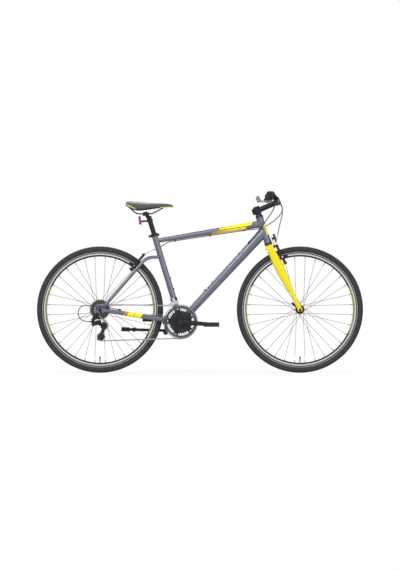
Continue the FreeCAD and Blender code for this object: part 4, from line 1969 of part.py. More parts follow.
# Front reflector on a bracket bolted through the crown
crown_front = mm.fork_crown_depth / 2
bracket_foot = tube(steer(crown_front, 0, crown_bolt_up), steer(crown_front + 7, 0, crown_bolt_up), 7, 3)
bracket_strip = slab((crown_front + 7, -8, crown_bolt_up - 9), (crown_front + 10, 8, 430), STEER_FRAME)
bracket_strip = bracket_strip.cut(crown_bolt)
bracket_stub = bar(steer(crown_front + 10, 0, 418), steer(crown_front + 19, 0, 418), 6)
reflector_box = slab((crown_front + 19, -25, 394), (crown_front + 28, 25, 442), STEER_FRAME)
reflector_box = reflector_box.makeFillet(3, reflector_box.Edges)
front_lens = slab((crown_front + 28, -22, 397), (crown_front + 33, 22, 439), STEER_FRAME)
bolt_head = bar(steer(crown_front + 10, 0, crown_bolt_up), steer(crown_front + 13, 0, crown_bolt_up), 5)
through_bolt = bar(steer(-crown_front, 0, crown_bolt_up), steer(crown_front + 10, 0, crown_bolt_up), 3)
bolt_nut = bar(steer(-crown_front - 4, 0, crown_bolt_up), steer(-crown_front, 0, crown_bolt_up), 5)
shaped("front_reflector", Part.makeCompound([
    fused([bracket_foot, bracket_strip, bracket_stub, reflector_box]),
    front_lens,
    fused([through_bolt, bolt_head, bolt_nut]),
]))

# Kickstand: a bracket clamped to the chainstays, a tilted pivot pin, and the leg with its rubber foot
KICK = V(-188, 46, 232)
KICK_FOLDED = V(-446, 56, 240)
KICK_DOWN = V(0.25, 0.38, -0.89).normalize()
KICK_LENGTH = 246
kick_run = (KICK_FOLDED - KICK).normalize()
kick_axis = KICK_DOWN.cross(kick_run).normalize()
KICK_PIN = 5
KICK_HALF = 9
kick_boss = bar(KICK - kick_axis * KICK_HALF, KICK + kick_axis * KICK_HALF, 12)
kick_bore = bar(KICK - kick_axis * KICK_HALF, KICK + kick_axis * KICK_HALF, KICK_PIN + mm.running_gap)
kick_end = KICK + kick_run * (KICK_LENGTH - 28)
kick_leg = fused([kick_boss, bar(KICK, kick_end, mm.kickstand_radius)]).cut(kick_bore)
kick_collar_place = KICK + kick_run * (KICK_LENGTH - 78)
kick_collar = tube(kick_collar_place, kick_collar_place + kick_run * 16, mm.kickstand_radius + 4, mm.kickstand_radius)
kick_foot = bar(kick_end - kick_run * 18, KICK + kick_run * KICK_LENGTH, mm.kickstand_radius + 4)
kick_foot = kick_foot.cut(bar(kick_end - kick_run * 18, kick_end, mm.kickstand_radius))
shaped("kickstand_leg", Part.makeCompound([kick_leg, kick_collar, kick_foot]))

# Fittings on the frame: bottle bolts, cable clips and stops, cable guides, and the kickstand bracket
both_chainstays = [chainstay, mirrored(chainstay)]
bracket_plate = slab((-206, -38, 268), (-166, 42, 276)).cut(both_chainstays)
bracket_top = slab((-200, -18, 276), (-172, 18, 312)).cut(both_chainstays)
block_near = KICK - kick_axis * (KICK_HALF + mm.side_gap)
block_far = block_near - kick_axis * 20
pin_head = KICK + kick_axis * (KICK_HALF + mm.side_gap)
kick_block = fused([
    bar(block_far, block_near, 13),
    bar(block_far + kick_axis * 6, V(-188, block_far.y + 4, 270), 8),
    bracket_plate,
]).cut(bar(block_near, block_near + kick_axis * 40, 30))
kick_pin = fused([
    bar(block_near, pin_head, KICK_PIN),
    bar(pin_head, pin_head + kick_axis * 3, 9),
])
bottle_bolts = [bar(up_seat(height, 12), up_seat(height, mm.seat_tube_radius + 3), 5) for height in (186, 247)]
down_along = (down_end - CRANK).normalize()


def down_place(along, up, side):
    """A point beside the down tube: along it from the crank axis, above its axis, and to the left."""
    return CRANK + down_along * along + down_up * up + SIDEWAYS * side


bottle_bolts += [bar(down_place(along, 14, 0), down_place(along, 26, 0), 5) for along in (218, 280)]
bottle_bolts = [
    max(bolt.cut([seat_solid, down_solid]).Solids, key=lambda solid: solid.Volume) for bolt in bottle_bolts
]
HOUSING_ROOM = mm.housing_radius + 0.1
STOP_RADIUS = 4.5
STOP_HALF = 6


def under_top(share):
    """The rear brake housing's place under the top tube at a share of its length."""
    half_height = (mm.top_tube_rear + (mm.top_tube_front - mm.top_tube_rear) * share) / 2
    arch = mm.top_tube_arch * (1 - (2 * share - 1) ** 2)
    return top_start + top_run * share + top_up * (arch - half_height - mm.housing_radius - 0.8)


clip_places = [under_top(share) for share in (0.828, 0.506, 0.175)]
top_along = (top_end - top_start).normalize()
clips = [
    tube(place - top_along * 4, place + top_along * 4, mm.housing_radius + 2.2, HOUSING_ROOM).cut(top_solid)
    for place in clip_places
]
clips = [max(clip.Solids, key=lambda solid: solid.Volume) for clip in clips]
GUIDE_HEIGHT = mm.shell_radius + 3.5
GUIDE_SIDE = 27
wire_guides = {side: CRANK + V(0, side * GUIDE_SIDE, GUIDE_HEIGHT) for side in (RIGHT, LEFT)}
wire_stops = {side: down_place(575, 22, side * 18.5) for side in (RIGHT, LEFT)}
STAY_STOP = V(-440, -63, 348)
SEAT_GUIDE = V(-152, 2, 328)


def stop_ring(place, heading, solids):
    """A short tube that a cable housing ends in, trimmed to the frame tube that it is brazed to."""
    ring = tube(place - heading * STOP_HALF, place + heading * STOP_HALF, STOP_RADIUS, HOUSING_ROOM).cut(solids)
    return max(ring.Solids, key=lambda solid: solid.Volume)


stops = [
    stop_ring(wire_stops[side], (wire_stops[side] - wire_guides[side]).normalize(), [down_solid])
    for side in (RIGHT, LEFT)
]
stay_stop_run = (STAY_STOP - wire_guides[RIGHT]).normalize()
stops.append(stop_ring(STAY_STOP, stay_stop_run, both_chainstays))
guide_blocks = []
for side in (RIGHT, LEFT):
    spot = wire_guides[side]
    block = slab((spot.x - 6, spot.y - 3, spot.z - 9), (spot.x + 6, spot.y + 3, spot.z - mm.wire_radius - 0.2))
    block = block.cut([shell_solid, seat_solid, down_solid] + both_chainstays)
    guide_blocks.append(max(block.Solids, key=lambda solid: solid.Volume))
seat_guide_foot = V(SEAT_GUIDE.x + 20, SEAT_GUIDE.y, SEAT_GUIDE.z - 2)
fd_anchor = V(fd_low - 6, fd_middle.y, fd_middle.z - FD_BOLT - mm.wire_radius - 0.2)
seat_wire_groove = swept(route([wire_guides[LEFT], SEAT_GUIDE, fd_anchor], [6]), mm.wire_radius + 0.2)
seat_lug = bar(seat_guide_foot, SEAT_GUIDE + V(mm.wire_radius + 1.4, 0, 0), 3).cut([seat_solid, seat_wire_groove])
seat_lug = max(seat_lug.Solids, key=lambda solid: solid.Volume)
fittings = [kick_block, kick_pin, bracket_top, seat_lug] + bottle_bolts + clips + stops + guide_blocks
shaped("frame_fittings", Part.makeCompound([solid for shape in fittings for solid in shape.Solids]))


# Cables: housings laid in straight runs and easy arcs, and bare wires drawn straight between their stops
def easy_radii(points):
    """Bend radii for a housing that lies free: as large as the shorter run beside each bend allows."""
    radii = []
    for before, corner, after in zip(points, points[1:], points[2:]):
        back, onward = before - corner, after - corner
        half_turn = (math.pi - back.getAngle(onward)) / 2
        radii.append(min(0.45 * min(back.Length, onward.Length) / math.tan(half_turn), 900))
    return radii


def housing(name, points):
    """A round cable housing, with its smallest bend and its volume against section times length printed."""
    radii = easy_radii(points)
    line = route(points, radii)
    solid = swept(line, mm.housing_radius)
    ratio = solid.Volume / (math.pi * mm.housing_radius**2 * line.Length)
    print(name, "bends", [round(radius, 1) for radius in radii], "volume ratio", round(ratio, 4))
    return solid


def wire(points):
    """A bare inner wire drawn tight between places, with a small bend at each guide."""
    return swept(route(points, [6] * (len(points) - 2)), mm.wire_radius)


def cross_wire(start, end):
    """The bare wire between a pair of brake arms, clear of the guide that it comes out of."""
    return bar(start + (end - start).normalize(), end, mm.wire_radius)


def adjuster_mouth(side):
    """The end of a brake lever's barrel adjuster and the direction that its housing leaves in."""
    frame = control_frame(side)
    return frame.multVec(V(-44, 28, 0)), bar_outward(side) * -1


def shift_mouth(side):
    """The place on the shifter pod where its housing leaves, and the direction."""
    inward = V(0, -side, 0)
    return pod_middle(side) + V(0, 0, -9) + inward * (POD_RADIUS + 0.1), inward


def shift_housing(name, side):
    """A shift housing from its pod past the head tube to the stop on the down tube."""
    start, leaving = shift_mouth(side)
    arriving = (wire_stops[side] - wire_guides[side]).normalize()
    return housing(name, [
        start,
        start + leaving * 26,
        V(424, side * 72, 926),
        V(356, side * 33, 826),
        wire_stops[side] + arriving * 34,
        wire_stops[side],
    ])


front_mouth, front_leaving = adjuster_mouth(LEFT)
front_noodle, front_arriving = noodle_ends["front_brake_arm_right"]
front_housing = housing("front brake", [
    front_mouth,
    front_mouth + front_leaving * 34,
    V(462, 12, 900),
    front_noodle + front_arriving * 46,
    front_noodle + front_arriving * 0.1,
])
front_wire = cross_wire(noodle_starts["front_brake_arm_right"], anchors["front_brake_arm_left"])
shaped("front_brake_cable", Part.makeCompound([front_housing, front_wire]))

rear_mouth, rear_leaving = adjuster_mouth(RIGHT)
rear_noodle, rear_arriving = noodle_ends["rear_brake_arm_left"]
first_span = (clip_places[0] - clip_places[1]).normalize()
last_span = (clip_places[1] - clip_places[2]).normalize()
rear_housing = housing("rear brake", [
    rear_mouth,
    rear_mouth + rear_leaving * 34,
    V(466, -14, 892),
    V(396, 60, 824),
    V(324, 47, 792),
    clip_places[0] + first_span * 40,
    clip_places[1],
    clip_places[2] - last_span * 38,
    V(-206, 26, 700),
    rear_noodle + rear_arriving * 24,
    rear_noodle + rear_arriving * 0.1,
])
rear_wire = cross_wire(noodle_starts["rear_brake_arm_left"], anchors["rear_brake_arm_right"])
right_shift = shift_housing("rear shift", RIGHT)
left_shift = shift_housing("front shift", LEFT)
rear_shift_wires = wire([wire_stops[RIGHT], wire_guides[RIGHT], STAY_STOP])
front_shift_wires = wire([wire_stops[LEFT], wire_guides[LEFT], SEAT_GUIDE, fd_anchor])
rear_loop = housing("rear shift loop", [
    STAY_STOP,
    STAY_STOP + stay_stop_run * 14,
    V(-502, -82, 359),
    V(-641, -88, 376),
    V(-668, -86, 349),
    V(-668, -82, 311),
    adjuster_end + adjuster_run * 31,
    adjuster_end + adjuster_run * 0.1,
])
cable_solids = [rear_housing, rear_wire, right_shift, left_shift, rear_shift_wires, front_shift_wires, rear_loop]
shaped("frame_cables", Part.makeCompound([solid for shape in cable_solids for solid in shape.Solids]))

# Each node goes to its own file once every shape is sound
NODES = """
frame headset bottom_bracket seat_clamp frame_fittings chain front_derailleur_body rear_derailleur_body rear_axle
frame_cables fork stem handlebar grips brake_shift_housings front_axle front_reflector front_brake_cable
right_brake_lever left_brake_lever right_thumb_lever left_thumb_lever
front_brake_arm_left front_brake_arm_right rear_brake_arm_left rear_brake_arm_right
front_tyre front_inner_tube front_rim front_spokes front_hub rear_tyre rear_inner_tube rear_rim rear_spokes rear_hub
freewheel crank_axles right_crank chainrings chain_guard left_crank right_pedal left_pedal
seatpost saddle_pad saddle_shell saddle_rails rear_reflector
rd_outer_link rd_inner_link rd_knuckle rd_cage rd_guide_pulley rd_tension_pulley fd_link fd_cage
kickstand_leg front_qr_lever seat_qr_lever
""".split()
doc.recompute()
faults = []
for item in doc.Objects:
    if "Invalid" in item.State or "Error" in item.State:
        faults.append(item.Label + " did not compute")
for label in NODES:
    shape = doc.getObjectsByLabel(label)[0].Shape
    if shape.isNull() or not shape.isValid() or not shape.Solids:
        faults.append(label + " is not a valid solid")
if faults:
    raise RuntimeError("; ".join(faults))
os.makedirs("parts", exist_ok=True)
for label in NODES:
    doc.getObjectsByLabel(label)[0].Shape.exportStep(f"parts/{label}.step")
print(len(NODES), "nodes written")
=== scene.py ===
import json
import math

import bmesh
import bpy
from mathutils import Matrix, Vector


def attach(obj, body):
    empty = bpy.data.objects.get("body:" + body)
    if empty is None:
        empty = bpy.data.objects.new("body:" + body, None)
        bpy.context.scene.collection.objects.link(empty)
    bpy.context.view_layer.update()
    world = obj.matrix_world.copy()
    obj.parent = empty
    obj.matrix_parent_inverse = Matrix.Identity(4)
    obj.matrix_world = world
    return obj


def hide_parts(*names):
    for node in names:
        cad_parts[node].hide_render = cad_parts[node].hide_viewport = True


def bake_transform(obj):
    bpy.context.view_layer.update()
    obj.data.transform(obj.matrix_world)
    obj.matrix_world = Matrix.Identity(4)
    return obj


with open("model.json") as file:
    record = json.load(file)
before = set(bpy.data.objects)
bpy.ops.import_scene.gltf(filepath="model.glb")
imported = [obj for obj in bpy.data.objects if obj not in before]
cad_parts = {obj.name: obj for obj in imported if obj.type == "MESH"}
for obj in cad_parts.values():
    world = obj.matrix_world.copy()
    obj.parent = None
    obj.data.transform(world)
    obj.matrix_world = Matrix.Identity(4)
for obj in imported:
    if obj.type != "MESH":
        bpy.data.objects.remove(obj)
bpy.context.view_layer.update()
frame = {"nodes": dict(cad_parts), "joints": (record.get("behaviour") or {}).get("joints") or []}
nodes = frame["nodes"]


# Frame: welded aluminium tubes in satin slate paint with fine metal flake under a clear coat.
# Plain yellow panels are masked and sprayed on the head tube's front, the top tube and the chainstays.
def new_finish(name, colour, roughness, metallic=0.0, **sockets):
    """A material whose shader has its constant sockets set."""
    material = bpy.data.materials.new(name)
    material.use_nodes = True
    shader = material.node_tree.nodes["Principled BSDF"]
    shader.inputs["Base Color"].default_value = (*colour, 1.0)
    shader.inputs["Roughness"].default_value = roughness
    shader.inputs["Metallic"].default_value = metallic
    for socket, value in sockets.items():
        shader.inputs[socket.replace("_", " ")].default_value = value
    return material


def add_node(material, kind, **inputs):
    """A new shader node with its named inputs set."""
    made = material.node_tree.nodes.new("ShaderNode" + kind)
    for socket, value in inputs.items():
        made.inputs[socket.replace("_", " ")].default_value = value
    return made


def link(material, output, socket):
    """Joins an output to an input inside a material."""
    material.node_tree.links.new(output, socket)


def into(material, output, socket):
    """Joins an output to an input of the material's shader."""
    link(material, output, material.node_tree.nodes["Principled BSDF"].inputs[socket])


def place_on(material):
    """The place on a piece, in metres of its own space."""
    return add_node(material, "TexCoord").outputs["Object"]


def grain(material, scale, detail=3.0):
    """Fine noise through a piece, about 0.5 on average."""
    noise = add_node(material, "TexNoise", Scale=scale, Detail=detail)
    link(material, place_on(material), noise.inputs["Vector"])
    return noise.outputs["Fac"]


def spread(material, value, low, high, start=0.3, stop=0.7):
    """A value between start and stop, stretched to run from low to high."""
    span = add_node(material, "MapRange", From_Min=start, From_Max=stop, To_Min=low, To_Max=high)
    link(material, value, span.inputs["Value"])
    return span.outputs["Result"]


def mixed(material, amount, first, second):
    """A colour that goes from the first to the second; each is a colour or another output."""
    mix = add_node(material, "Mix")
    mix.data_type = "RGBA"
    link(material, amount, mix.inputs[0])
    for socket, colour in ((mix.inputs[6], first), (mix.inputs[7], second)):
        if isinstance(colour, tuple):
            socket.default_value = (*colour, 1.0)
        else:
            link(material, colour, socket)
    return mix.outputs[2]


def relief(material, height, depth):
    """Lets a height raise the surface by up to a depth in metres."""
    bump = add_node(material, "Bump", Strength=0.6, Distance=depth)
    link(material, height, bump.inputs["Height"])
    into(material, bump.outputs["Normal"], "Normal")


def mottle(material, scale, first, second):
    """Lets a finish's colour wander between two shades."""
    into(material, mixed(material, grain(material, scale), first, second), "Base Color")


def wear(material, scale, low, high):
    """Lets a finish's roughness wander between two values."""
    into(material, spread(material, grain(material, scale), low, high), "Roughness")


def reckon(material, kind, first, second):
    """One sum of two values, each a number or an output."""
    sum_node = add_node(material, "Math")
    sum_node.operation = kind
    for socket, value in zip(sum_node.inputs, (first, second)):
        if isinstance(value, (int, float)):
            socket.default_value = value
        else:
            link(material, value, socket)
    return sum_node.outputs["Value"]


def reckon_vector(material, kind, first, second=(0, 0, 0), result="Vector"):
    """One sum of an output that is a vector and a constant vector."""
    sum_node = add_node(material, "VectorMath")
    sum_node.operation = kind
    link(material, first, sum_node.inputs[0])
    sum_node.inputs[1].default_value = second
    return sum_node.outputs[result]


def along(material, direction):
    """How far a place lies along a direction, in metres."""
    return reckon_vector(material, "DOT_PRODUCT", place_on(material), direction, "Value")


def band(material, value, low, high):
    """1 where a value lies between two limits, and 0 elsewhere."""
    above = reckon(material, "GREATER_THAN", value, low)
    below = reckon(material, "LESS_THAN", value, high)
    return reckon(material, "MULTIPLY", above, below)


def patch(material, value, limits, other, other_limits):
    """1 where two values each lie between their limits, and 0 elsewhere."""
    one, two = band(material, value, *limits), band(material, other, *other_limits)
    return reckon(material, "MULTIPLY", one, two)


def joint_named(name):
    """The frame's joint of that name."""
    return next(joint for joint in frame["joints"] if joint["name"] == name)


def dress(material, *names):
    """Gives whole CAD nodes a finish."""
    for name in names:
        nodes[name].data.materials.clear()
        nodes[name].data.materials.append(material)


def dress_where(name, material, test):
    """Gives a further finish to the faces of a CAD node whose middles pass a test."""
    mesh = nodes[name].data
    mesh.materials.append(material)
    for face in mesh.polygons:
        if test(face.center):
            face.material_index = len(mesh.materials) - 1


SLATE = (0.105, 0.114, 0.152)
SLATE_FLAKE = (0.175, 0.184, 0.232)
YELLOW = (0.97, 0.80, 0.008)
GOLD = (0.50, 0.29, 0.02)
FLAKE_SCALE = 1800
TOP_TUBE_ALONG = Vector((0.9874, 0, 0.158))
TOP_TUBE_UP = Vector((-0.158, 0, 0.9874))
TOP_TUBE_LEVEL = 0.757
PANEL_SLANT = 0.62
UPPER_LEVELS, UPPER_RUN = (0.0015, 0.03), (0.225, 0.405)
LOWER_LEVELS, LOWER_RUN = (-0.03, -0.0025), (0.19, 0.382)
GOLD_STOP, YELLOW_START = 0.2, 0.3
STAY_LEVEL = 0.315
STAY_SLANT = 0.6
STAY_LEVELS = (0.28, 0.345)
STAY_BARS = ((-0.424, -0.405, GOLD), (-0.402, -0.364, YELLOW), (-0.361, -0.320, YELLOW))
HEAD_AHEAD, HEAD_LEVELS = (0.009, 0.04), (0.447, 0.508)

slate_paint = new_finish("slate_paint", SLATE, 0.34, 0.55, Coat_Weight=0.2, Coat_Roughness=0.15)
flake = spread(slate_paint, grain(slate_paint, FLAKE_SCALE, 1.0), 0, 1)
paint = mixed(slate_paint, flake, SLATE, SLATE_FLAKE)
level = reckon(slate_paint, "SUBTRACT", along(slate_paint, TOP_TUBE_UP), TOP_TUBE_LEVEL)
slant = reckon(slate_paint, "MULTIPLY", level, PANEL_SLANT)
run = reckon(slate_paint, "SUBTRACT", along(slate_paint, TOP_TUBE_ALONG), slant)
upper_panel = patch(slate_paint, level, UPPER_LEVELS, run, UPPER_RUN)
lower_panel = patch(slate_paint, level, LOWER_LEVELS, run, LOWER_RUN)
top_panels = reckon(slate_paint, "MAXIMUM", upper_panel, lower_panel)
fade = spread(slate_paint, run, 0, 1, GOLD_STOP, YELLOW_START)
paint = mixed(slate_paint, top_panels, paint, mixed(slate_paint, fade, GOLD, YELLOW))
stay_level = along(slate_paint, (0, 0, 1))
stay_rise = reckon(slate_paint, "SUBTRACT", stay_level, STAY_LEVEL)
stay_slant = reckon(slate_paint, "MULTIPLY", stay_rise, STAY_SLANT)
stay_run = reckon(slate_paint, "SUBTRACT", along(slate_paint, (1, 0, 0)), stay_slant)
for first, last, colour in STAY_BARS:
    bar_here = patch(slate_paint, stay_level, STAY_LEVELS, stay_run, (first, last))
    paint = mixed(slate_paint, bar_here, paint, colour)
steering = joint_named("steering_turn")
steer_base, steer_up = Vector(steering["pos_m"]), Vector(steering["axis"])
steer_ahead = Vector((steer_up.z, 0, -steer_up.x))
ahead = reckon(slate_paint, "SUBTRACT", along(slate_paint, steer_ahead), steer_base.dot(steer_ahead))
height = reckon(slate_paint, "SUBTRACT", along(slate_paint, steer_up), steer_base.dot(steer_up))
head_front = patch(slate_paint, ahead, HEAD_AHEAD, height, HEAD_LEVELS)
paint = mixed(slate_paint, head_front, paint, YELLOW)
into(slate_paint, paint, "Base Color")
wear(slate_paint, 45, 0.30, 0.40)
relief(slate_paint, grain(slate_paint, 260, 2.0), 0.00012)
dress(slate_paint, "frame")

# Fittings on the frame: pressed and turned alloy pieces, blacked, that hold the cables and the kickstand.
# Blacked steel screws close the bottle bosses, and a guide under the bottom bracket leads the shift wires.
black_alloy = new_finish("black_alloy", (0.014, 0.014, 0.016), 0.4, 0.3, Specular_IOR_Level=0.3)
mottle(black_alloy, 90, (0.009, 0.009, 0.011), (0.022, 0.022, 0.025))
wear(black_alloy, 60, 0.32, 0.48)
relief(black_alloy, grain(black_alloy, 900, 2.0), 0.00008)
dress(black_alloy, "frame_fittings")

# Head bearings and bottom bracket: turned steel, blacked. Cups are pressed into the head tube's ends under
# covers that keep dirt out, and the bottom bracket is a closed cartridge screwed into its shell.
black_steel = new_finish("black_steel", (0.03, 0.03, 0.032), 0.35, 0.8)
mottle(black_steel, 140, (0.018, 0.018, 0.02), (0.05, 0.05, 0.052))
wear(black_steel, 300, 0.25, 0.42)
relief(black_steel, grain(black_steel, 1200, 1.0), 0.00006)
dress(black_steel, "headset", "bottom_bracket")

# Fork: welded aluminium in gloss yellow, with turned brake posts and threaded eyelets at its tips.
# The paint is thick and clear coated, with the faint waviness of a sprayed coat.
yellow_paint = new_finish(
    "yellow_paint", YELLOW, 0.34, 0.0, Specular_IOR_Level=0.3, Coat_Weight=0.08, Coat_Roughness=0.08
)
mottle(yellow_paint, 30, (0.95, 0.77, 0.006), (0.99, 0.83, 0.012))
wear(yellow_paint, 70, 0.30, 0.39)
relief(yellow_paint, grain(yellow_paint, 240, 2.0), 0.0001)
dress(yellow_paint, "fork")

# Stem, handlebar and levers: forged and drawn aluminium, anodised black and bead blasted to a fine satin.
# Blacked socket screws clamp the bar and the steerer.
dress(black_alloy, "stem", "handlebar", "right_brake_lever", "left_brake_lever")

# Grips: moulded rubber sleeves pushed onto the bar ends, matt and slightly dusty.
# A closed end and an inner flange keep the hand in place, and low moulded rings run round each one.
soft_rubber = new_finish("soft_rubber", (0.018, 0.018, 0.018), 0.8, 0.0, Specular_IOR_Level=0.3)
mottle(soft_rubber, 50, (0.012, 0.012, 0.012), (0.035, 0.035, 0.036))
wear(soft_rubber, 160, 0.68, 0.9)
relief(soft_rubber, grain(soft_rubber, 700, 2.0), 0.0002)
RING_PITCH = 0.0045
RING_HEIGHT = 0.0012
grip_rubber = soft_rubber.copy()
grip_rubber.name = "grip_rubber"
turns = reckon(grip_rubber, "MULTIPLY", along(grip_rubber, (0, 1, 0)), math.tau / RING_PITCH)
rings = reckon(grip_rubber, "SINE", turns, 0)
relief(grip_rubber, rings, RING_HEIGHT)
dress(grip_rubber, "grips")

# Shifter and brake housings: moulded black plastic with a fine spark-eroded texture.
# The thumb levers are silver coloured plastic pushed by the thumb.
moulded_black = new_finish("moulded_black", (0.016, 0.016, 0.018), 0.55, 0.0, Specular_IOR_Level=0.3)
mottle(moulded_black, 80, (0.010, 0.010, 0.012), (0.024, 0.024, 0.027))
wear(moulded_black, 400, 0.45, 0.65)
relief(moulded_black, grain(moulded_black, 1500, 1.0), 0.00015)
dress(moulded_black, "brake_shift_housings")
silver_plastic = new_finish("silver_plastic", (0.25, 0.255, 0.27), 0.42, 0.3)
mottle(silver_plastic, 60, (0.2, 0.205, 0.215), (0.3, 0.305, 0.32))
relief(silver_plastic, grain(silver_plastic, 1200, 1.0), 0.0001)
dress(silver_plastic, "right_thumb_lever", "left_thumb_lever")

# Rims: extruded and rolled aluminium, anodised black, with brake tracks and edges machined bright.
# Two thin plain arcs of yellow-green tape follow the inner wall on opposite sides.
TRACK_INNER, TRACK_OUTER = 0.3010, 0.3088
EDGE_INNER, EDGE_OUTER = 0.3150, 0.33
TAPE_INNER, TAPE_OUTER = 0.2925, 0.2995
TAPE_REACH = 0.268
TURNING_MARKS = 14000
SILVER = (0.62, 0.62, 0.64)
DULL_SILVER = (0.5, 0.5, 0.52)
TAPE_COLOUR = (0.36, 0.35, 0.045)
wheel_axles = {wheel: Vector(joint_named(wheel + "_wheel_spin")["pos_m"]) for wheel in ("front", "rear")}
for wheel, axle in wheel_axles.items():
    rim_metal = new_finish(wheel + "_rim_metal", (0.03, 0.03, 0.032), 0.35, 0.6)
    offset = reckon_vector(rim_metal, "SUBTRACT", place_on(rim_metal), axle)
    flat = reckon_vector(rim_metal, "MULTIPLY", offset, (1, 0, 1))
    radius = reckon_vector(rim_metal, "LENGTH", flat, result="Value")
    across = reckon(rim_metal, "SUBTRACT", along(rim_metal, (1, 0, 0)), axle.x)
    across = reckon(rim_metal, "ABSOLUTE", across, 0)
    anodised = mixed(rim_metal, grain(rim_metal, 60), (0.016, 0.016, 0.018), (0.035, 0.035, 0.038))
    track = band(rim_metal, radius, TRACK_INNER, TRACK_OUTER)
    edge = band(rim_metal, radius, EDGE_INNER, EDGE_OUTER)
    bright = reckon(rim_metal, "MAXIMUM", track, edge)
    turning = reckon(rim_metal, "SINE", reckon(rim_metal, "MULTIPLY", radius, TURNING_MARKS), 0)
    machined = mixed(rim_metal, spread(rim_metal, turning, 0, 1, -1, 1), DULL_SILVER, SILVER)
    metal = mixed(rim_metal, bright, anodised, machined)
    tape = band(rim_metal, radius, TAPE_INNER, TAPE_OUTER)
    tape = reckon(rim_metal, "MULTIPLY", tape, reckon(rim_metal, "GREATER_THAN", across, TAPE_REACH))
    into(rim_metal, mixed(rim_metal, tape, metal, TAPE_COLOUR), "Base Color")
    into(rim_metal, spread(rim_metal, bright, 0.36, 0.28, 0, 1), "Roughness")
    into(rim_metal, spread(rim_metal, bright, 0.5, 0.95, 0, 1), "Metallic")
    relief(rim_metal, reckon(rim_metal, "MULTIPLY", turning, bright), 0.00003)
    dress(rim_metal, wheel + "_rim")

# Tyres: black rubber moulded over a woven casing, with a low centre rib and small angled blocks for gravel.
# The beads hook under the rim's edges.
tyre_rubber = new_finish("tyre_rubber", (0.035, 0.036, 0.04), 0.78, 0.0, Specular_IOR_Level=0.35)
mottle(tyre_rubber, 40, (0.026, 0.027, 0.03), (0.05, 0.051, 0.056))
wear(tyre_rubber, 120, 0.68, 0.9)
relief(tyre_rubber, grain(tyre_rubber, 800, 2.0), 0.0003)
CASING_PROFILE = (
    (0.0080, 0.3116), (0.0098, 0.3116), (0.0098, 0.3178), (0.0140, 0.3205), (0.0175, 0.3255),
    (0.0189, 0.3310), (0.0180, 0.3365), (0.0155, 0.3408), (0.0110, 0.3440), (0.0055, 0.3456), (0.0, 0.3460),
)
RIB_PROFILE = ((0.0048, 0.3450), (0.0042, 0.3474), (0.0, 0.3477))
# Each row of blocks: its offset to the side, radius, width, length, twist and tilt.
BLOCK_ROWS = ((0.0088, 0.3438, 0.0052, 0.0125, 0.5, 0.35), (0.0148, 0.3413, 0.0044, 0.0105, -0.35, 0.75))
BLOCK_HEIGHT = 0.0042
BLOCK_COUNT = 104
AROUND = 208
WELD_GAP = 1e-6
TREAD_CREASE = math.radians(35)
for wheel, axle in wheel_axles.items():
    tyre_mesh = bmesh.new()
    for profile in (CASING_PROFILE, RIB_PROFILE):
        outline = [(-side, radius) for side, radius in profile] + list(profile[-2::-1])
        corners = [tyre_mesh.verts.new(axle + Vector((0, side, radius))) for side, radius in outline]
        edges = [tyre_mesh.edges.new(pair) for pair in zip(corners, corners[1:] + corners[:1])]
        bmesh.ops.spin(
            tyre_mesh, geom=corners + edges, cent=axle, axis=(0, 1, 0),
            angle=math.tau, steps=AROUND, use_merge=True,
        )
    for side, radius, width, length, twist, tilt in BLOCK_ROWS:
        for hand in (-1, 1):
            lean = Matrix.Rotation(-hand * tilt, 4, "X")
            turn = Matrix.Rotation(hand * twist, 4, "Z")
            size = Matrix.Diagonal((length, width, BLOCK_HEIGHT, 1))
            start = Matrix.Rotation(math.tau / BLOCK_COUNT / 2 * (hand > 0), 4, "Y")
            place = Matrix.Translation(axle) @ start @ Matrix.Translation((0, hand * side, radius))
            block = bmesh.ops.create_cube(tyre_mesh, size=1.0, matrix=place @ lean @ turn @ size)["verts"]
            faces = list({face for corner in block for face in corner.link_faces})
            rims = list({rim_edge for corner in block for rim_edge in corner.link_edges})
            bmesh.ops.spin(
                tyre_mesh, geom=block + rims + faces, cent=axle, axis=(0, 1, 0),
                angle=math.tau * (BLOCK_COUNT - 1) / BLOCK_COUNT, steps=BLOCK_COUNT - 1, use_duplicate=True,
            )
    bmesh.ops.remove_doubles(tyre_mesh, verts=tyre_mesh.verts, dist=WELD_GAP)
    bmesh.ops.recalc_face_normals(tyre_mesh, faces=tyre_mesh.faces)
    casing = bpy.data.meshes.new(wheel + "_tread_tyre")
    tyre_mesh.to_mesh(casing)
    tyre_mesh.free()
    for face in casing.polygons:
        face.use_smooth = True
    casing.set_sharp_from_angle(angle=TREAD_CREASE)
    casing.materials.append(tyre_rubber)
    tread_tyre = bpy.data.objects.new(wheel + "_tread_tyre", casing)
    bpy.context.scene.collection.objects.link(tread_tyre)
    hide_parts(wheel + "_tyre")
    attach(tread_tyre, wheel + "_wheel")

# Inner tubes and spokes: black butyl rings, with rubber covered valves that pass through the rims.
# Spokes are drawn steel wire with a black coat, laced from the hub to nipples in the rim and pulled tight.
dress(soft_rubber, "front_inner_tube", "rear_inner_tube")
black_wire = new_finish("black_wire", (0.016, 0.016, 0.018), 0.4, 0.4)
mottle(black_wire, 200, (0.012, 0.012, 0.014), (0.026, 0.026, 0.028))
wear(black_wire, 500, 0.34, 0.5)
relief(black_wire, grain(black_wire, 1500, 1.0), 0.00004)
dress(black_wire, "front_spokes", "rear_spokes")

# Hubs: turned aluminium shells, anodised black, that run on cones screwed onto steel axles.
# The front axle is clamped in the fork by a quick release lever, and the rear one in the dropouts by nuts.
dress(black_alloy, "front_hub", "rear_hub", "front_qr_lever")
dress(black_steel, "front_axle", "rear_axle")

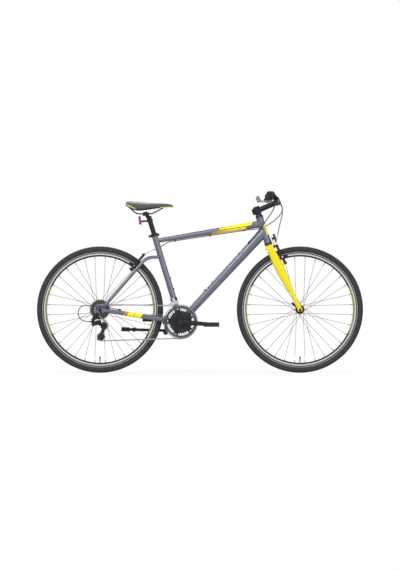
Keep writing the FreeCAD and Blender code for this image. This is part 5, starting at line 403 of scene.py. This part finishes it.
# Brakes: forged black arms on the fork and stay posts, with rubber pads and a bright bent cable guide.
# The pads stand just off the machined tracks.
bright_steel = new_finish("bright_steel", (0.55, 0.55, 0.56), 0.28, 1.0)
mottle(bright_steel, 200, (0.44, 0.44, 0.45), (0.62, 0.62, 0.63))
wear(bright_steel, 500, 0.22, 0.36)
relief(bright_steel, grain(bright_steel, 1500, 1.0), 0.00004)
brake_arms = [wheel + "_brake_arm_" + hand for wheel in ("front", "rear") for hand in ("left", "right")]
dress(black_alloy, *brake_arms)
PAD_REACH = 0.0231
PAD_TOP = 0.66
PAD_FRONT_EDGE = 0.42
PAD_REAR_EDGE = -0.335
STUD_START = 0.0545
ARM_TOP = 0.7085
ARM_FRONT = -0.2995


def is_pad(spot):
    """Tells a brake pad's rubber from the arm that carries it."""
    return abs(spot.y) < PAD_REACH and spot.z < PAD_TOP and not PAD_REAR_EDGE < spot.x < PAD_FRONT_EDGE


for name in brake_arms:
    dress_where(name, soft_rubber, is_pad)
    dress_where(name, bright_steel, lambda spot: abs(spot.y) > STUD_START)
dress_where("front_brake_arm_right", bright_steel, lambda spot: spot.z > ARM_TOP)
dress_where("rear_brake_arm_left", bright_steel, lambda spot: spot.x > ARM_FRONT)

# Drive: black cranks and spider, dark plated rings, a plated chain and a bronze coloured freewheel.
# A smoky clear guard, moulded in one piece and screwed on, keeps clothes off the largest ring.
dark_plate = new_finish("dark_plate", (0.03, 0.036, 0.038), 0.34, 0.8)
mottle(dark_plate, 120, (0.018, 0.023, 0.025), (0.045, 0.052, 0.054))
wear(dark_plate, 350, 0.27, 0.42)
relief(dark_plate, grain(dark_plate, 1100, 1.0), 0.00006)
dress(dark_plate, "chainrings")
dress(black_alloy, "right_crank", "left_crank")
dress(black_steel, "crank_axles")
bronze_plate = new_finish("bronze_plate", (0.09, 0.082, 0.065), 0.4, 0.9)
mottle(bronze_plate, 150, (0.055, 0.05, 0.04), (0.125, 0.114, 0.09))
wear(bronze_plate, 400, 0.3, 0.5)
relief(bronze_plate, grain(bronze_plate, 1300, 1.0), 0.00006)
dress(bronze_plate, "freewheel")
chain_steel = new_finish("chain_steel", (0.33, 0.32, 0.31), 0.36, 1.0)
mottle(chain_steel, 160, (0.2, 0.19, 0.18), (0.42, 0.41, 0.4))
wear(chain_steel, 500, 0.28, 0.5)
relief(chain_steel, grain(chain_steel, 1400, 1.0), 0.00006)
dress(chain_steel, "chain")
clear_guard = new_finish("clear_guard", (0.64, 0.69, 0.72), 0.08, 0.0, Transmission_Weight=0.97, IOR=1.4)
wear(clear_guard, 90, 0.05, 0.12)
relief(clear_guard, grain(clear_guard, 200), 0.00008)
dress(clear_guard, "chain_guard")
GUARD_FACE = -0.06505
dress_where("chain_guard", bright_steel, lambda spot: spot.y < GUARD_FACE)

# Pedals: open cages moulded from black plastic with the same fine texture as the shifter housings.
# Each turns on a steel spindle screwed into the end of its crank.
dress(moulded_black, "right_pedal", "left_pedal")

# Derailleurs: a bright pressed front cage and a black rear one, each on a four-bar linkage with steel pins.
# Plastic pulleys guide the chain below the freewheel.
dress(bright_steel, "fd_link", "fd_cage")
dress(black_alloy, "front_derailleur_body", "rear_derailleur_body")
dress(black_alloy, "rd_outer_link", "rd_inner_link", "rd_knuckle")
dress(dark_plate, "rd_cage")
dress(moulded_black, "rd_guide_pulley", "rd_tension_pulley")

# Cables: lined steel coil housings in black plastic from the levers to the frame, then bare steel wires.
# Each housing ends in a stop on the frame or in a brake's guide.
HOUSING_RADIUS = 0.0025
WIRE_RADIUS = 0.0008
WIRE_BEND = 0.008
housing_black = new_finish("housing_black", (0.014, 0.014, 0.015), 0.42, 0.0, Coat_Weight=0.15)
mottle(housing_black, 60, (0.010, 0.010, 0.011), (0.024, 0.024, 0.026))
wear(housing_black, 200, 0.35, 0.52)
relief(housing_black, grain(housing_black, 1200, 1.0), 0.00006)


def cable_line(name, route, radius):
    """A smooth line along a cable's route: its mesh with a round section, and the points of its middle."""
    curve = bpy.data.curves.new(name, "CURVE")
    curve.dimensions = "3D"
    curve.resolution_u = 16
    spline = curve.splines.new("NURBS")
    spline.points.add(len(route) - 1)
    for point, place in zip(spline.points, route):
        point.co = (*place, 1.0)
    spline.order_u = 3
    spline.use_endpoint_u = True
    holder = bpy.data.objects.new(name + "_line", curve)
    bpy.context.scene.collection.objects.link(holder)
    bpy.context.view_layer.update()
    line = bpy.data.meshes.new_from_object(holder)
    middle = [corner.co.copy() for corner in line.vertices]
    bpy.data.meshes.remove(line)
    curve.bevel_depth = radius
    curve.bevel_resolution = 3
    curve.use_fill_caps = True
    bpy.context.view_layer.update()
    tube = bpy.data.meshes.new_from_object(bpy.context.evaluated_depsgraph_get().objects[holder.name])
    bpy.data.objects.remove(holder)
    tube.name = name
    piece = bpy.data.objects.new(name, tube)
    bpy.context.scene.collection.objects.link(piece)
    for face in tube.polygons:
        face.use_smooth = True
    return piece, middle


def lay_cable(name, node, route, radius, material):
    """One cable that goes from the object back into it and stands for a CAD node."""
    piece, middle = cable_line(name, route, radius)
    piece.data.materials.clear()
    piece.data.materials.append(material)
    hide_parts(node)
    return piece


def lay_housing(name, node, *route):
    """A housing, bent freely through its route."""
    return lay_cable(name, node, route, HOUSING_RADIUS, housing_black)


def lay_wire(name, node, *route):
    """A bare wire along its route."""
    return lay_cable(name, node, route, WIRE_RADIUS, bright_steel)


def drawn_tight(*places):
    """A wire's route from stop to stop, straight between its guides and with a short bend at each."""
    places = [Vector(place) for place in places]
    tight = [places[0]]
    for before, guide, after in zip(places, places[1:], places[2:]):
        tight += [guide + (before - guide).normalized() * WIRE_BEND, guide]
        tight.append(guide + (after - guide).normalized() * WIRE_BEND)
    return tight + [places[-1]]


front_housing = lay_housing(
    "front_brake_housing", "front_brake_cable",
    (0.4213, 0.1385, 0.9599), (0.4259, 0.1048, 0.9599), (0.4620, 0.0120, 0.9000),
    (0.4344, -0.0478, 0.8035), (0.4269, -0.0443, 0.7584),
)
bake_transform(front_housing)
front_wire = lay_wire(
    "front_brake_wire", "front_brake_cable", (0.4187, -0.0143, 0.7072), (0.4303, 0.0283, 0.7025)
)
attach(front_wire, "front_brake_arm_left")
MIDDLE_CLIP = (0.0552, 0.0, 0.7559)
rear_housing = lay_housing(
    "rear_brake_housing", "frame_cables",
    (0.4213, -0.1385, 0.9599), (0.4259, -0.1048, 0.9599), (0.4660, -0.0140, 0.8920),
    (0.3960, 0.0600, 0.8240), (0.3240, 0.0470, 0.7920), (0.2823, 0.0, 0.7892), (0.2526, 0.0, 0.7848),
    MIDDLE_CLIP,
)
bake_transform(rear_housing)
rear_tail = lay_housing(
    "rear_brake_housing_tail", "frame_cables",
    MIDDLE_CLIP, (-0.1453, 0.0, 0.7252), (-0.1750, 0.0, 0.7207), (-0.2060, 0.0260, 0.7000),
    (-0.2345, 0.0435, 0.6861), (-0.2563, 0.0416, 0.6767),
)
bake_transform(rear_tail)
rear_wire = lay_wire(
    "rear_brake_wire", "frame_cables", (-0.3037, 0.0117, 0.6563), (-0.3159, -0.0256, 0.6546)
)
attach(rear_wire, "rear_brake_arm_right")
for hand, name in ((-1, "rear_shift"), (1, "front_shift")):
    shift_housing = lay_housing(
        name + "_housing", "frame_cables",
        (0.3744, hand * 0.1463, 0.9542), (0.3744, hand * 0.1203, 0.9542),
        (0.4240, hand * 0.0720, 0.9260), (0.3560, hand * 0.0330, 0.8260),
        (0.2911, hand * 0.0180, 0.7421), (0.2683, hand * 0.0185, 0.7169),
    )
    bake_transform(shift_housing)
rear_shift_wire = lay_wire(
    "rear_shift_wire", "frame_cables",
    *drawn_tight((0.2683, -0.0185, 0.7169), (-0.1062, -0.0270, 0.3045), (-0.4400, -0.0630, 0.3480)),
)
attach(rear_shift_wire, "frame_body")
front_shift_wire = lay_wire(
    "front_shift_wire", "frame_cables",
    *drawn_tight(
        (0.2683, 0.0185, 0.7169), (-0.1062, 0.0270, 0.3045), (-0.1520, 0.0020, 0.3280),
        (-0.1550, -0.0379, 0.4025),
    ),
)
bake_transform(front_shift_wire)
shift_loop = lay_housing(
    "rear_shift_loop", "frame_cables",
    (-0.4400, -0.0630, 0.3480), (-0.4538, -0.0645, 0.3498), (-0.5020, -0.0820, 0.3590),
    (-0.6410, -0.0880, 0.3760), (-0.6680, -0.0860, 0.3490), (-0.6680, -0.0820, 0.3110),
    (-0.6410, -0.0733, 0.2832), (-0.6101, -0.0733, 0.2826),
)
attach(shift_loop, "frame_body")

# Seatpost, clamp and rails: black anodised tube with a forged head that grips two bent steel rails.
# The post slides in the seat tube, where a split collar with a quick release lever holds it.
dress(black_alloy, "seatpost", "seat_clamp", "seat_qr_lever")
dress(black_steel, "saddle_rails")

# Saddle: a foam pad under a dark coated cover, drawn tight over a moulded shell and stapled below.
# Yellow panels are sewn on low at the back and under the nose, with a sunk seam along the rear one.
FOAM_WELD = 1e-5
COVER_VOXEL = 0.005
COVER_START = 0.985
COVER_SWELL = 0.006
SWELL_FRAMES = 20
SWELL_PRESSURE = 4.0
FACING_DOWN = -0.6
NO_SWELL = 1e-9
SEAM_SLOPE = 0.512
SEAM_LEVEL = 0.7226
SEAM_WIDTH = 0.004
SEAM_DEPTH = 0.0014
REAR_PANEL = (-0.404, -0.331)
NOSE_PANEL = (-0.222, -0.15)
NOSE_LEVEL = 0.9128
LEMON = (0.92, 0.86, 0.13)


def settled(piece):
    """The mesh of a piece as its modifiers leave it, with the modifiers taken off."""
    bpy.context.view_layer.update()
    shaped = bpy.data.meshes.new_from_object(piece.evaluated_get(bpy.context.evaluated_depsgraph_get()))
    piece.modifiers.clear()
    return shaped


pad_mesh = nodes["saddle_pad"].data.copy()
saddle_cover = bpy.data.objects.new("saddle_cover", pad_mesh)
bpy.context.scene.collection.objects.link(saddle_cover)
foam = bmesh.new()
foam.from_mesh(pad_mesh)
bmesh.ops.remove_doubles(foam, verts=foam.verts, dist=FOAM_WELD)
bmesh.ops.recalc_face_normals(foam, faces=foam.faces)
foam_middle = sum((corner.co for corner in foam.verts), Vector()) / len(foam.verts)
shrink = Matrix.Translation(foam_middle) @ Matrix.Scale(COVER_START, 4) @ Matrix.Translation(-foam_middle)
bmesh.ops.transform(foam, matrix=shrink, verts=foam.verts)
foam.to_mesh(pad_mesh)
foam.free()
skin = saddle_cover.modifiers.new("skin", "REMESH")
skin.mode = "VOXEL"
skin.voxel_size = COVER_VOXEL
even = saddle_cover.modifiers.new("even", "SMOOTH")
even.factor = 0.5
even.iterations = 3
saddle_cover.data = settled(saddle_cover)
stapled = saddle_cover.vertex_groups.new(name="stapled")
below = [corner.index for corner in saddle_cover.data.vertices if corner.normal.z < FACING_DOWN]
stapled.add(below, 1.0, "REPLACE")
drawn = saddle_cover.modifiers.new("drawn", "CLOTH")
drawn.settings.vertex_group_mass = stapled.name
drawn.settings.use_pressure = True
drawn.settings.uniform_pressure_force = SWELL_PRESSURE
drawn.settings.effector_weights.gravity = 0.0
drawn.point_cache.frame_end = SWELL_FRAMES
for step in range(1, SWELL_FRAMES + 1):
    bpy.context.scene.frame_set(step)
swollen = settled(saddle_cover)
for corner, end in zip(saddle_cover.data.vertices, swollen.vertices):
    swell = end.co - corner.co
    corner.co += swell * min(1.0, COVER_SWELL / max(swell.length, NO_SWELL))
bpy.context.scene.frame_set(1)
finer = saddle_cover.modifiers.new("finer", "SUBSURF")
finer.levels = 1
cover_mesh = settled(saddle_cover)
saddle_cover.data = cover_mesh
for corner in cover_mesh.vertices:
    off_seam = abs(corner.co.z + SEAM_SLOPE * corner.co.x - SEAM_LEVEL)
    if off_seam < SEAM_WIDTH and REAR_PANEL[0] < corner.co.x < REAR_PANEL[1]:
        corner.co -= corner.normal * SEAM_DEPTH * (1 - off_seam / SEAM_WIDTH)
cover_black = new_finish("saddle_cover", (0.06, 0.06, 0.075), 0.5, 0.0, Sheen_Weight=0.15)
coating = mixed(cover_black, grain(cover_black, 120), (0.045, 0.046, 0.056), (0.085, 0.086, 0.1))
cover_x, cover_z = along(cover_black, (1, 0, 0)), along(cover_black, (0, 0, 1))
under_seam = reckon(cover_black, "LESS_THAN", along(cover_black, (SEAM_SLOPE, 0, 1)), SEAM_LEVEL)
rear_panel = reckon(cover_black, "MULTIPLY", under_seam, band(cover_black, cover_x, *REAR_PANEL))
under_nose = reckon(cover_black, "LESS_THAN", cover_z, NOSE_LEVEL)
nose_panel = reckon(cover_black, "MULTIPLY", under_nose, band(cover_black, cover_x, *NOSE_PANEL))
panels = reckon(cover_black, "MAXIMUM", rear_panel, nose_panel)
into(cover_black, mixed(cover_black, panels, coating, LEMON), "Base Color")
wear(cover_black, 200, 0.42, 0.58)
relief(cover_black, grain(cover_black, 900, 2.0), 0.0003)
cover_mesh.materials.clear()
cover_mesh.materials.append(cover_black)
for face in cover_mesh.polygons:
    face.use_smooth = True
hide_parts("saddle_pad")
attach(saddle_cover, "seat")
dress(moulded_black, "saddle_shell")
shell_lemon = new_finish("shell_lemon", LEMON, 0.45)
wear(shell_lemon, 200, 0.38, 0.52)
relief(shell_lemon, grain(shell_lemon, 900, 2.0), 0.0002)
dress_where("saddle_shell", shell_lemon, lambda spot: spot.x > NOSE_PANEL[0])

# Reflectors: clear and red lenses moulded with a fine grid of prisms, their edges in painted shade, on
# black brackets.
# One is clamped to the seatpost and one is bolted to the fork crown.
LENSES = (("rear_reflector", (0.30, 0.03, 0.06)), ("front_reflector", (0.78, 0.8, 0.8)))
PRISM_EDGE_SHADE = 0.6
PRISM_SCALE = 330
PRISM_HEIGHT = 0.0006
REAR_LENS = -0.3235
FRONT_LENS = 0.0485


def is_lens(spot):
    """Tells a reflector's lens from its bracket."""
    return spot.x < REAR_LENS or (spot - steer_base).dot(steer_ahead) > FRONT_LENS


for name, colour in LENSES:
    lens = new_finish(name + "_lens", colour, 0.18, 0.0, Coat_Weight=0.6, Coat_Roughness=0.05)
    prisms = add_node(lens, "TexVoronoi", Scale=PRISM_SCALE)
    link(lens, place_on(lens), prisms.inputs["Vector"])
    # Painted shade: each prism's colour darkens to six tenths towards its edges, as if shaded in the
    # creases between prisms.
    prism_edge_shade = spread(lens, prisms.outputs["Distance"], 0, 1, 0.1, 0.6)
    into(lens, mixed(lens, prism_edge_shade, colour, tuple(PRISM_EDGE_SHADE * part for part in colour)), "Base Color")
    relief(lens, prisms.outputs["Distance"], PRISM_HEIGHT)
    dress(moulded_black, name)
    dress_where(name, lens, is_lens)

# Kickstand: a black alloy leg with a rubber foot, folded back along the left chainstay.
# It swings on a pin in the bracket behind the bottom bracket.
dress(black_alloy, "kickstand_leg")
FOOT_START = -0.3872
dress_where("kickstand_leg", soft_rubber, lambda spot: spot.x < FOOT_START)

# Studio: a pale floor that keeps a soft shadow, a white surround and three large soft lamps.
# A long lens far to the right of the bicycle gives the plain side view.
FLOOR_GREY = (0.45, 0.45, 0.45)
FLOOR_RADIUS = 60
WHITE = (1, 1, 1, 1)
LIT_GLOW, FAR_GLOW = 0.565, 0.77
LIT_REACH, FAR_REACH = 2.0, 8.0
SURROUND_LIGHT, SURROUND_SHOWN = 0.55, 1.0
floor_white = new_finish("studio_floor", FLOOR_GREY, 0.9, Specular_IOR_Level=0.0, Emission_Color=WHITE)
rays = add_node(floor_white, "LightPath")
seen = reckon(floor_white, "MAXIMUM", rays.outputs["Is Camera Ray"], rays.outputs["Is Glossy Ray"])
seen = reckon(floor_white, "MAXIMUM", seen, rays.outputs["Is Transmission Ray"])
distance = reckon_vector(floor_white, "LENGTH", place_on(floor_white), result="Value")
glow = spread(floor_white, distance, LIT_GLOW, FAR_GLOW, LIT_REACH, FAR_REACH)
into(floor_white, reckon(floor_white, "MULTIPLY", seen, glow), "Emission Strength")
floor_mesh = bpy.data.meshes.new("studio_floor")
sweep = bmesh.new()
bmesh.ops.create_circle(sweep, cap_ends=True, segments=96, radius=FLOOR_RADIUS)
sweep.to_mesh(floor_mesh)
sweep.free()
floor_mesh.materials.append(floor_white)
floor = bpy.data.objects.new("studio_floor", floor_mesh)
bpy.context.scene.collection.objects.link(floor)

surround = bpy.data.worlds.new("studio")
bpy.context.scene.world = surround
surround.use_nodes = True
sky = surround.node_tree.nodes["Background"]
sky.inputs["Color"].default_value = WHITE
sky_rays = add_node(surround, "LightPath")
shown = reckon(surround, "MAXIMUM", sky_rays.outputs["Is Camera Ray"], sky_rays.outputs["Is Glossy Ray"])
link(surround, spread(surround, shown, SURROUND_LIGHT, SURROUND_SHOWN, 0, 1), sky.inputs["Strength"])

LAMPS = (
    ("key_lamp", (-2.2, -4.5, 4.2), 175),
    ("fill_lamp", (3.5, -5.0, 1.8), 75),
    ("back_lamp", (0.5, 4.5, 4.0), 110),
)
LAMP_SIZE = 3.0
LAMP_TARGET = Vector((0, 0, 0.5))
for name, place, power in LAMPS:
    lamp = bpy.data.lights.new(name, "AREA")
    lamp.shape = "DISK"
    lamp.size = LAMP_SIZE
    lamp.energy = power
    stand = bpy.data.objects.new(name, lamp)
    bpy.context.scene.collection.objects.link(stand)
    stand.location = place
    stand.rotation_mode = "QUATERNION"
    stand.rotation_quaternion = (LAMP_TARGET - Vector(place)).to_track_quat("-Z", "Y")

PHOTO_HEIGHT = 3.138
CAMERA_DISTANCE = 24.0
CAMERA_LEVEL = 0.4834
CAMERA_FAR = 200
SENSOR_WIDTH = 36
side_camera = bpy.data.cameras.new("side_camera")
side_camera.sensor_width = SENSOR_WIDTH
side_camera.lens = SENSOR_WIDTH * CAMERA_DISTANCE / PHOTO_HEIGHT
side_camera.clip_end = CAMERA_FAR
viewpoint = bpy.data.objects.new("side_camera", side_camera)
bpy.context.scene.collection.objects.link(viewpoint)
viewpoint.location = (0, -CAMERA_DISTANCE, CAMERA_LEVEL)
viewpoint.rotation_euler = (math.radians(90), 0, 0)
bpy.context.scene.camera = viewpoint
bpy.context.scene.view_settings.view_transform = "Standard"
